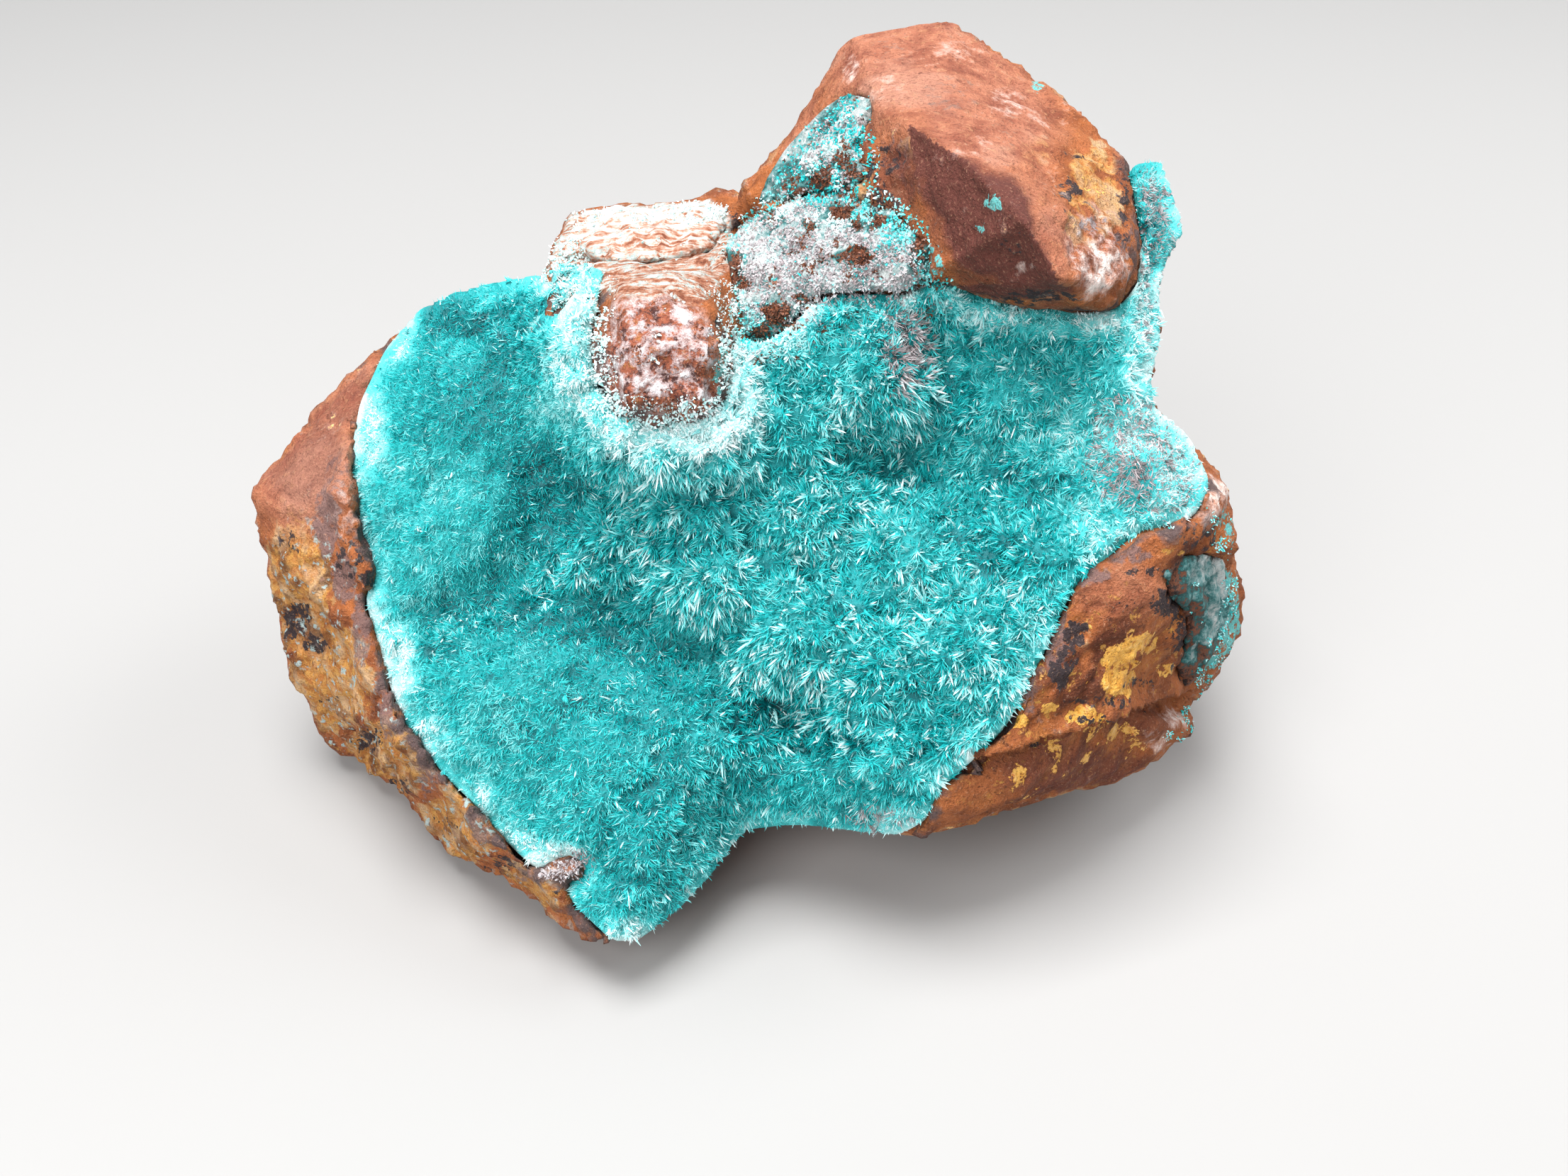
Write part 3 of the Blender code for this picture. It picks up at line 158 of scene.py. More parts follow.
# Grey-white crystals in that field, as across, up, radii, share
GREY_SPOTS = [
    (2.4, 18.6, 4.2, 2.6, 1.1), (-0.6, 18.6, 2.2, 2.6, 1.1), (5.6, 18.0, 2.4, 2.0, 0.9),
    (0.4, 16.0, 2.0, 1.6, 0.9), (1.2, 20.6, 3.0, 1.2, 0.7),
]

# Aqua lumps on the flank of the peak, as across, up, radii, share
FLANK = [(2.4, 25.4, 3.6, 4.0, 1.0)]

# Crumbs of other crystals, as name, slot, count, seed, tones, size in mm, and oval zones
CRUMBS = [
    ("knob_crumbs", "pale_shelf_crust", 7000, 211, (0.42, 0.5), 0.15, [
        (-5.2, 9.6, 2.6, 1.2, 1.0), (-3.6, 11.2, 1.0, 2.2, 0.9),
        (-3.4, 15.6, 1.2, 2.4, 0.9), (-9.0, 10.2, 1.8, 1.2, 1.0), (-10.0, 12.0, 0.8, 2.6, 0.9),
        (-10.6, 16.6, 1.4, 1.6, 0.7), (-12.0, 18.2, 1.4, 1.2, 0.6),
    ]),
    ("halo_crumbs", "pale_shelf_crust", 8500, 251, (0.40, 0.5), 0.24, [
        (-10.7, 13.4, 0.9, 3.6, 1.0), (-9.8, 10.2, 1.1, 1.1, 1.0), (-7.2, 9.1, 2.6, 0.8, 1.1),
        (-4.1, 9.2, 2.2, 1.7, 1.5), (-3.0, 12.6, 0.8, 3.4, 1.0), (-11.4, 16.6, 1.2, 1.4, 0.8),
        (-13.2, 18.0, 1.8, 0.9, 1.0), (-12.2, 18.8, 1.6, 1.1, 1.1),
    ]),
    ("knob_grains", "limonite", 2600, 223, (0.56, 0.72), 0.2, [
        (-5.6, 10.3, 1.4, 0.8, 0.8), (-7.2, 10.8, 1.0, 0.8, 0.6), (-4.4, 12.6, 0.9, 1.2, 0.8),
        (-6.4, 13.6, 2.0, 1.6, 0.45), (-8.6, 14.4, 1.2, 1.4, 0.5), (-10.6, 15.0, 0.5, 2.0, 0.7),
    ]),
    ("notch_crumbs", "druse", 900, 263, (0.74, 1.0), 0.2, [
        (-12.7, -15.9, 1.3, 0.9, 1.1), (-11.6, -15.4, 0.8, 0.7, 0.8),
    ]),
    ("shelf_crumbs", "pale_shelf_crust", 3000, 227, (0.42, 0.5), 0.17, [
        (-11.0, 20.9, 1.6, 0.7, 0.9), (-8.0, 21.2, 2.6, 0.6, 0.9), (-5.0, 21.4, 2.0, 0.7, 0.9),
        (-12.6, 19.4, 0.8, 0.8, 0.5), (-8.6, 20.0, 3.0, 0.6, 0.35),
    ]),
    ("slab_crumbs", "pale_slab_crust", 5200, 229, (0.2, 0.46), 0.16, [
        (24.6, -3.4, 1.0, 2.6, 0.8), (24.0, -5.4, 0.9, 1.4, 0.8), (23.0, -7.4, 0.7, 0.9, 0.8),
        (22.2, -8.4, 0.9, 0.5, 0.6), (25.4, -0.6, 0.6, 1.6, 0.7), (23.6, 0.6, 1.6, 0.8, 0.4),
        (24.9, 3.0, 0.7, 1.6, 0.6),
    ]),
]

# How many crystals there are, in all and in a piece
FUZZ = 96000
FUZZ_PIECE = 48000
FANS = 8600
FAN_BLADES = 9
BLADE_PIECE = 60000
LIT_PIECE = 21000
FIELD_COUNT = 14500

# Sizes of the crystals, in mm, and how far the blades of a fan turn
TUFT_SIZE = 1.35
NEEDLE_LENGTH = 0.66
NEEDLE_WIDTH = 0.12
BLADE_LENGTH = 0.84
BLADE_WIDTH = 0.17
NEEDLE_SINK = 0.12
BLADE_SINK = 0.14
GRAIN_SINK = 0.06
FAN_SPREAD = math.radians(42.0)
FAN_LIFT = math.radians(14.0)

# Shades on the scale of the crystals: 0 dark teal, 0.25 turquoise, 0.5 white, over 0.6 grey
TURQUOISE = 0.228
WHITE = 0.485
RIM_WHITE = 0.47
GREY_FROM = 0.74
GREY_SPREAD = 0.26

NEEDLES = "aurichalcite_needles"
STREAK_AIM = (0.84, 0.25, 0.48)
CELLS_AROUND = list(itertools.product((-2, -1, 0, 1, 2), repeat=3))


def seen(across, up, near):
    """Places in the row frame, in mm, for across, up and near in the front view."""
    reach = SIGHT_REACH - np.asarray(near)
    side = np.asarray(across) / SIGHT_REACH
    rise = np.asarray(up) / SIGHT_REACH
    x = reach * side
    y = reach * (rise * math.sin(SIGHT_DOWN) + math.cos(SIGHT_DOWN))
    z = EYE_HEIGHT + reach * (rise * math.cos(SIGHT_DOWN) - math.sin(SIGHT_DOWN))
    return np.stack((x, y, z), axis=-1) - HOME


def in_view(places):
    """Across, up and near of places given in mm in the row frame."""
    shifted = places + HOME - np.array((0.0, 0.0, EYE_HEIGHT))
    reach = shifted[:, 1] * math.cos(SIGHT_DOWN) - shifted[:, 2] * math.sin(SIGHT_DOWN)
    rise = shifted[:, 1] * math.sin(SIGHT_DOWN) + shifted[:, 2] * math.cos(SIGHT_DOWN)
    across = shifted[:, 0] / reach * SIGHT_REACH
    up = rise / reach * SIGHT_REACH
    return across, up, SIGHT_REACH - reach


EYE = seen(0.0, 0.0, SIGHT_REACH)


def smooth_step(value, low, high):
    share = np.clip((value - low) / (high - low), 0.0, 1.0)
    return share * share * (3.0 - 2.0 * share)


def zone_share(zones, across, up):
    """How much the strongest of some oval zones holds at each place."""
    best = np.zeros(len(across))
    for side, rise, wide, high, share in zones:
        spread = ((across - side) / wide) ** 2 + ((up - rise) / high) ** 2
        best = np.maximum(best, share * np.clip(1.35 - spread, 0.0, 1.0))
    return best


def held_share(zones, across, up, most=1.0):
    return np.clip(zone_share(zones, across, up), 0.0, most)


# Steady noise in space

def hashed(cells, seed):
    """A steady number from 0 to 1 for each whole cell."""
    cells = cells.astype(np.int64)
    mixed = cells[..., 0] * 73856093 ^ cells[..., 1] * 19349663 ^ cells[..., 2] * 83492791
    mixed = (mixed + seed * 9781) & 0xFFFFFFFF
    mixed = ((mixed ^ (mixed >> 15)) * 2246822519) & 0xFFFFFFFF
    mixed = ((mixed ^ (mixed >> 13)) * 3266489917) & 0xFFFFFFFF
    return ((mixed ^ (mixed >> 16)) & 0xFFFFFF) / float(0xFFFFFF)


def value_noise(places, size, seed):
    """Smooth noise from -1 to 1 with features of a size in mm."""
    scaled = places / size
    low = np.floor(scaled)
    share = scaled - low
    share = share * share * share * (share * (share * 6.0 - 15.0) + 10.0)
    total = np.zeros(len(places))
    for corner in range(8):
        step = np.array((corner & 1, (corner >> 1) & 1, (corner >> 2) & 1))
        weight = np.prod(np.where(step, share, 1.0 - share), axis=1)
        total += weight * hashed(low + step, seed)
    return total * 2.0 - 1.0


def layered_noise(places, size, seed, layers):
    total = np.zeros(len(places))
    strength = 1.0
    whole = 0.0
    for layer in range(layers):
        total += strength * value_noise(places, size / 2.03 ** layer, seed + layer * 17)
        whole += strength
        strength *= 0.5
    return total / whole


def stretched(places, aim, ratio):
    """Places drawn together along one direction, for streaks that run along it."""
    aim = np.array(aim) / np.linalg.norm(aim)
    return places - np.outer(places @ aim, aim) * (1.0 - 1.0 / ratio)


def chipped_noise(places, size, seed, bowl=0.9):
    """Broken surface of flat chips that meet in creases, about -0.5 to 0.5."""
    scaled = places / size
    low = np.floor(scaled)
    best = np.full(len(places), -9.0)
    for step in itertools.product((-1, 0, 1), repeat=3):
        cell = low + np.array(step)
        centre = cell + np.stack([hashed(cell, seed + k) for k in range(3)], axis=1)
        tilt = np.stack([hashed(cell, seed + 5 + k) for k in range(3)], axis=1) - 0.5
        gap = scaled - centre
        height = 1.6 * np.sum(gap * tilt, axis=1) - bowl * np.sum(gap * gap, axis=1)
        best = np.maximum(best, height)
    return best + 0.15


# Meshes

def get_triples(rows, field):
    values = np.empty(len(rows) * 3)
    rows.foreach_get(field, values)
    return values.reshape(-1, 3)


def get_places(mesh):
    return get_triples(mesh.vertices, "co")


def get_normals(mesh):
    return get_triples(mesh.vertex_normals, "vector")


def set_places(mesh, places):
    mesh.vertices.foreach_set("co", np.ascontiguousarray(places, dtype=np.float32).ravel())
    mesh.update()


def add_share(mesh, name, values):
    layer = mesh.attributes.new(name, "FLOAT", "POINT")
    layer.data.foreach_set("value", np.ascontiguousarray(values, dtype=np.float32))


def add_object(name, mesh):
    piece = bpy.data.objects.new(name, mesh)
    bpy.context.scene.collection.objects.link(piece)
    return piece


def regrown(node, name, voxel, smoothing):
    """A fine even copy of a CAD node, in mm."""
    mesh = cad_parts[node].data.copy()
    piece = add_object(name, mesh)
    set_places(mesh, get_places(mesh) / MM)
    grow = piece.modifiers.new("grow", "REMESH")
    grow.mode = "VOXEL"
    grow.voxel_size = voxel
    soften = piece.modifiers.new("soften", "SMOOTH")
    soften.iterations = smoothing
    soften.factor = 0.5
    depsgraph = bpy.context.evaluated_depsgraph_get()
    shaped = bpy.data.meshes.new_from_object(piece.evaluated_get(depsgraph))
    piece.modifiers.clear()
    piece.data = shaped
    shaped.materials.clear()
    return piece


def split_faces(mesh, chosen):
    """Splits the faces around chosen corners into four."""
    bm = bmesh.new()
    bm.from_mesh(mesh)
    bm.verts.ensure_lookup_table()
    edges = {edge for index in np.nonzero(chosen)[0] for edge in bm.verts[index].link_edges}
    bmesh.ops.subdivide_edges(bm, edges=list(edges), cuts=1, use_grid_fill=True)
    bmesh.ops.triangulate(bm, faces=[face for face in bm.faces if len(face.verts) > 4])
    bm.to_mesh(mesh)
    bm.free()


def facing_eye(places, normals):
    aim = EYE - places
    aim /= np.linalg.norm(aim, axis=1)[:, None]
    return np.sum(aim * normals, axis=1)


def finder(places):
    """Search tree over places."""
    tree = KDTree(len(places))
    for number, place in enumerate(places):
        tree.insert(place, number)
    tree.balance()
    return tree


def nearest(tree, places):
    """Number of the nearest place in a search tree, and the distance to it."""
    numbers = np.empty(len(places), dtype=np.int64)
    gaps = np.empty(len(places))
    for row, place in enumerate(places):
        _, numbers[row], gaps[row] = tree.find(place)
    return numbers, gaps


def settle(piece, node, smooth=True):
    """Turns a finished piece from mm to metres and gives it to the frame."""
    places = get_places(piece.data)
    places[:, 2] = np.maximum(places[:, 2], 0.0)
    set_places(piece.data, places * MM)
    piece.data.polygons.foreach_set("use_smooth", [smooth] * len(piece.data.polygons))
    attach(piece, "root")
    if node:
        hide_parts(node)


# Materials

def new_material(name):
    material = bpy.data.materials.new(name)
    material.use_nodes = True
    return material, material.node_tree, material.node_tree.nodes["Principled BSDF"]


def plug(value, socket):
    """Sets a number or a colour, or links a socket."""
    if isinstance(value, tuple):
        socket.default_value = (*value, 1.0)
    elif isinstance(value, (int, float)):
        socket.default_value = value
    else:
        value.id_data.links.new(value, socket)


def share_node(tree, name):
    node = tree.nodes.new("ShaderNodeAttribute")
    node.attribute_name = name
    return node.outputs["Fac"]


def noise_node(tree, size, detail=4.0, rough=0.55, stretch=None):
    """Noise from 0 to 1 in object space, with features of a size in mm."""
    place = tree.nodes.new("ShaderNodeTexCoord").outputs["Object"]
    if stretch:
        mapping = tree.nodes.new("ShaderNodeMapping")
        mapping.inputs["Rotation"].default_value = stretch[0]
        mapping.inputs["Scale"].default_value = stretch[1]
        plug(place, mapping.inputs["Vector"])
        place = mapping.outputs["Vector"]
    node = tree.nodes.new("ShaderNodeTexNoise")
    node.inputs["Scale"].default_value = 1.0 / (size * MM)
    node.inputs["Detail"].default_value = detail
    node.inputs["Roughness"].default_value = rough
    plug(place, node.inputs["Vector"])
    return node.outputs["Fac"]


def sum_node(kind, first, second):
    node = first.id_data.nodes.new("ShaderNodeMath")
    node.operation = kind
    plug(first, node.inputs[0])
    plug(second, node.inputs[1])
    return node.outputs[0]


def span(value, low, high, start=0.0, end=1.0):
    """Smooth step of a value from low to high."""
    node = value.id_data.nodes.new("ShaderNodeMapRange")
    node.interpolation_type = "SMOOTHSTEP"
    for name, limit in (("From Min", low), ("From Max", high), ("To Min", start), ("To Max", end)):
        node.inputs[name].default_value = limit
    plug(value, node.inputs["Value"])
    return node.outputs["Result"]


def blend(share, first, second):
    """Colour between two colours or colour sockets."""
    node = share.id_data.nodes.new("ShaderNodeMix")
    node.data_type = "RGBA"
    plug(share, node.inputs["Factor"])
    plug(first, node.inputs[6])
    plug(second, node.inputs[7])
    return node.outputs[2]


def coat(color, share, low, high, tone, most=1.0):
    """A tone laid over a colour where a share goes from low to high."""
    return blend(span(share, low, high, 0.0, most), color, tone)


def sprinkle(color, share, noise, low, high, tone, most=1.0):
    """A tone laid over a colour inside a share, where noise goes from low to high."""
    return blend(sum_node("MULTIPLY", share, span(noise, low, high, 0.0, most)), color, tone)


def ragged(tree, name, noise, reach, low=0.3, high=0.7):
    """A share kept at each place, torn by noise."""
    return sum_node("ADD", share_node(tree, name), span(noise, low, high, -reach, reach))


def ramp_node(value, stops):
    node = value.id_data.nodes.new("ShaderNodeValToRGB")
    ramp = node.color_ramp
    for index, (place, color) in enumerate(stops):
        stop = ramp.elements[index] if index < 2 else ramp.elements.new(place)
        stop.position = place
        stop.color = (*color, 1.0)
    plug(value, node.inputs["Fac"])
    return node.outputs["Color"]


def dress(shader, color, rough, gloss=0.5, heights=()):
    """Fills a shader in; heights are bumps, each with its depth in mm."""
    plug(color, shader.inputs["Base Color"])
    plug(rough, shader.inputs["Roughness"])
    shader.inputs["Specular IOR Level"].default_value = gloss
    normal = None
    for height, depth in heights:
        node = shader.id_data.nodes.new("ShaderNodeBump")
        node.inputs["Distance"].default_value = depth * MM
        node.inputs["Strength"].default_value = 1.0
        plug(height, node.inputs["Height"])
        if normal:
            plug(normal, node.inputs["Normal"])
        normal = node.outputs["Normal"]
    if normal:
        plug(normal, shader.inputs["Normal"])


BAND_STOPS = [
    (0.0, (0.17, 0.05, 0.026)), (0.20, (0.30, 0.11, 0.06)), (0.38, (0.40, 0.22, 0.15)),
    (0.54, (0.50, 0.40, 0.35)), (0.66, (0.33, 0.46, 0.44)), (0.80, (0.56, 0.57, 0.55)),
    (1.0, (0.66, 0.67, 0.65)),
]
WORN_STOPS = [
    (0.0, (0.026, 0.014, 0.012)), (0.18, (0.20, 0.065, 0.03)), (0.32, (0.05, 0.05, 0.045)),
    (0.46, (0.014, 0.12, 0.12)), (0.62, (0.09, 0.23, 0.23)), (0.80, (0.26, 0.36, 0.36)),
    (1.0, (0.50, 0.54, 0.53)),
]
# Needle colours at the root and the tip along the scale of shades; the darker roots are in part
# painted shade deep among the needles
ROOT_STOPS = [
    (0.0, (0.0, 0.05, 0.06)), (0.125, (0.0, 0.17, 0.185)), (0.25, (0.004, 0.36, 0.37)),
    (0.375, (0.09, 0.54, 0.55)), (0.5, (0.78, 0.90, 0.89)), (0.56, (0.05, 0.022, 0.016)),
    (0.68, (0.24, 0.075, 0.035)), (0.78, (0.20, 0.17, 0.175)), (1.0, (0.40, 0.37, 0.385)),
]
TIP_STOPS = [
    (0.0, (0.002, 0.24, 0.255)), (0.125, (0.008, 0.47, 0.485)), (0.25, (0.055, 0.74, 0.745)),
    (0.375, (0.42, 0.88, 0.885)), (0.5, (0.95, 0.98, 0.98)), (0.56, (0.09, 0.04, 0.03)),
    (0.68, (0.40, 0.14, 0.065)), (0.78, (0.36, 0.31, 0.32)), (1.0, (0.70, 0.67, 0.69)),
]
ALONG_SHELF = ((0.0, 0.0, 0.12), (0.16, 1.0, 1.0))


def band_color(tree, name):
    """Streaked colour of the shelf around the broad tone kept at each place."""
    streak = noise_node(tree, 0.34, 5.0, 0.6, ALONG_SHELF)
    speck = noise_node(tree, 0.4, 4.0, 0.65)
    tone = sum_node("ADD", ragged(tree, name, streak, 0.34), span(speck, 0.3, 0.7, -0.16, 0.16))
    return ramp_node(tone, BAND_STOPS)


def peak_red(broad, middle, fine):
    """Terracotta of the smooth broken sides."""
    red = coat((0.24, 0.072, 0.042), middle, 0.34, 0.62, (0.40, 0.152, 0.088))
    red = coat(red, broad, 0.48, 0.66, (0.43, 0.205, 0.14), 0.7)
    red = coat(red, fine, 0.53, 0.70, (0.49, 0.235, 0.12), 0.55)
    return coat(red, fine, 0.46, 0.30, (0.17, 0.055, 0.036), 0.7)


def knob_mottle(tree, speck):
    """Rust, dark pits and pale pink patches of the knob."""
    mottle = noise_node(tree, 1.1, 6.0, 0.72)
    color = coat((0.06, 0.022, 0.020), speck, 0.42, 0.52, (0.29, 0.085, 0.045))
    color = coat(color, speck, 0.56, 0.64, (0.38, 0.15, 0.05), 0.8)
    color = coat(color, mottle, 0.45, 0.54, (0.44, 0.32, 0.31))
    return coat(color, mottle, 0.53, 0.62, (0.70, 0.65, 0.66))


def stone_material():
    material, tree, shader = new_material("limonite_stone")
    broad = noise_node(tree, 6.0, 3.0)
    middle = noise_node(tree, 1.9, 5.0, 0.62)
    fine = noise_node(tree, 0.55, 5.0, 0.65)
    dust = noise_node(tree, 0.16, 3.0, 0.6)
    speck = noise_node(tree, 0.75, 6.0, 0.7)
    fibrous = share_node(tree, "streak")
    grain = share_node(tree, "grain")
    torn = sum_node("ADD", span(middle, 0.3, 0.7, -0.35, 0.35), span(fine, 0.3, 0.7, -0.2, 0.2))

    color = coat((0.15, 0.038, 0.012), middle, 0.3, 0.7, (0.42, 0.13, 0.036))
    color = coat(color, broad, 0.35, 0.7, (0.34, 0.105, 0.035))
    color = coat(color, fine, 0.56, 0.75, (0.52, 0.21, 0.07), 0.5)
    earth = coat((0.36, 0.13, 0.028), fine, 0.38, 0.62, (0.52, 0.26, 0.065))
    earth = coat(earth, middle, 0.46, 0.64, (0.50, 0.34, 0.19), 0.8)
    color = coat(color, ragged(tree, "ochre", middle, 0.35, 0.2, 0.8), 0.42, 0.62, earth)
    color = blend(share_node(tree, "terracotta"), color, peak_red(broad, middle, fine))
    color = sprinkle(color, fibrous, grain, 0.0, 0.4, (0.085, 0.022, 0.010))
    color = sprinkle(color, fibrous, grain, -0.1, -0.5, (0.50, 0.19, 0.05), 0.6)
    color = sprinkle(color, fibrous, speck, 0.44, 0.34, (0.05, 0.016, 0.010), 0.85)
    color = sprinkle(color, fibrous, speck, 0.58, 0.64, (0.56, 0.29, 0.06), 0.8)
    color = coat(color, ragged(tree, "violet", fine, 0.3), 0.4, 0.75, (0.17, 0.105, 0.10), 0.85)
    # Dark red-brown, partly the stone's own colour and partly painted shade on the peak's dark front
    # side, the slab below its ledge and the left wedge
    color = coat(color, ragged(tree, "maroon_and_painted_shade", middle, 0.08), 0.35, 0.75, (0.115, 0.034, 0.025))
    yellow = sum_node("ADD", share_node(tree, "yellow"), torn)
    yellow_share = span(yellow, 0.46, 0.54)
    color = coat(color, yellow, 0.36, 0.46, (0.20, 0.05, 0.015), 0.6)
    gold = coat((0.60, 0.26, 0.03), fine, 0.35, 0.65, (0.84, 0.47, 0.10))
    gold = coat(gold, speck, 0.44, 0.34, (0.42, 0.09, 0.02), 0.9)
    color = blend(yellow_share, color, gold)
    color = coat(color, ragged(tree, "dark", fine, 0.4), 0.5, 0.66, (0.035, 0.024, 0.026))
    fleck = noise_node(tree, 0.6, 3.0, 0.6)
    color = sprinkle(color, share_node(tree, "fleck"), fleck, 0.57, 0.66, (0.33, 0.42, 0.41))
    color = blend(share_node(tree, "mottled"), color, knob_mottle(tree, speck))
    pale = sum_node("ADD", share_node(tree, "pale"), torn)
    color = coat(color, pale, 0.25, 0.85, (0.66, 0.50, 0.45), 0.6)
    color = coat(color, pale, 0.6, 1.0, (0.78, 0.72, 0.68), 0.7)
    color = coat(color, ragged(tree, "teal", fine, 0.4), 0.46, 0.66, (0.13, 0.45, 0.44))
    color = blend(share_node(tree, "banded"), color, band_color(tree, "band_tone"))
    # The dark band along the crust: partly the stone's own colour, partly painted shade
    color = coat(color, ragged(tree, "rim", middle, 0.3), 0.35, 0.75, (0.10, 0.065, 0.062))
    color = coat(color, dust, 0.45, 0.28, (0.04, 0.015, 0.01), 0.55)
    color = coat(color, dust, 0.56, 0.72, (0.74, 0.42, 0.26), 0.25)
    rough = span(yellow_share, 0.0, 1.0, 0.75, 0.4)
    dress(shader, color, rough, 0.22, [(middle, 0.35), (fine, 0.3), (dust, 0.12)])
    return material


def needle_material():
    _, tree, shader = new_material(NEEDLES)
    shade = share_node(tree, "shade")
    color = blend(share_node(tree, "tip"), ramp_node(shade, ROOT_STOPS), ramp_node(shade, TIP_STOPS))
    dress(shader, color, 0.34, 0.36)


def ground_material():
    """Ground of the crust under its needles."""
    material, tree, shader = new_material("aurichalcite_ground")
    fine = noise_node(tree, 0.5, 5.0, 0.65)
    dust = noise_node(tree, 0.15, 3.0, 0.6)
    color = ramp_node(ragged(tree, "shade", fine, 0.03, 0.2, 0.8), ROOT_STOPS)
    dress(shader, color, 0.6, heights=[(fine, 0.2), (dust, 0.08)])
    return material


def banded_material():
    material, tree, shader = new_material("banded_shelf")
    fine = noise_node(tree, 0.5, 5.0, 0.65)
    dress(shader, band_color(tree, "shade"), 0.75, 0.25, [(fine, 0.25)])
    return material


def worn_material():
    """Dull crust that wears through to dark and rusty ground."""
    material, tree, shader = new_material("worn_crust")
    fine = noise_node(tree, 0.45, 6.0, 0.7)
    dust = noise_node(tree, 0.16, 3.0, 0.6)
    color = ramp_node(ragged(tree, "shade", fine, 0.24), WORN_STOPS)
    dress(shader, color, 0.6, 0.3, [(fine, 0.25), (dust, 0.08)])
    return material


# The stone

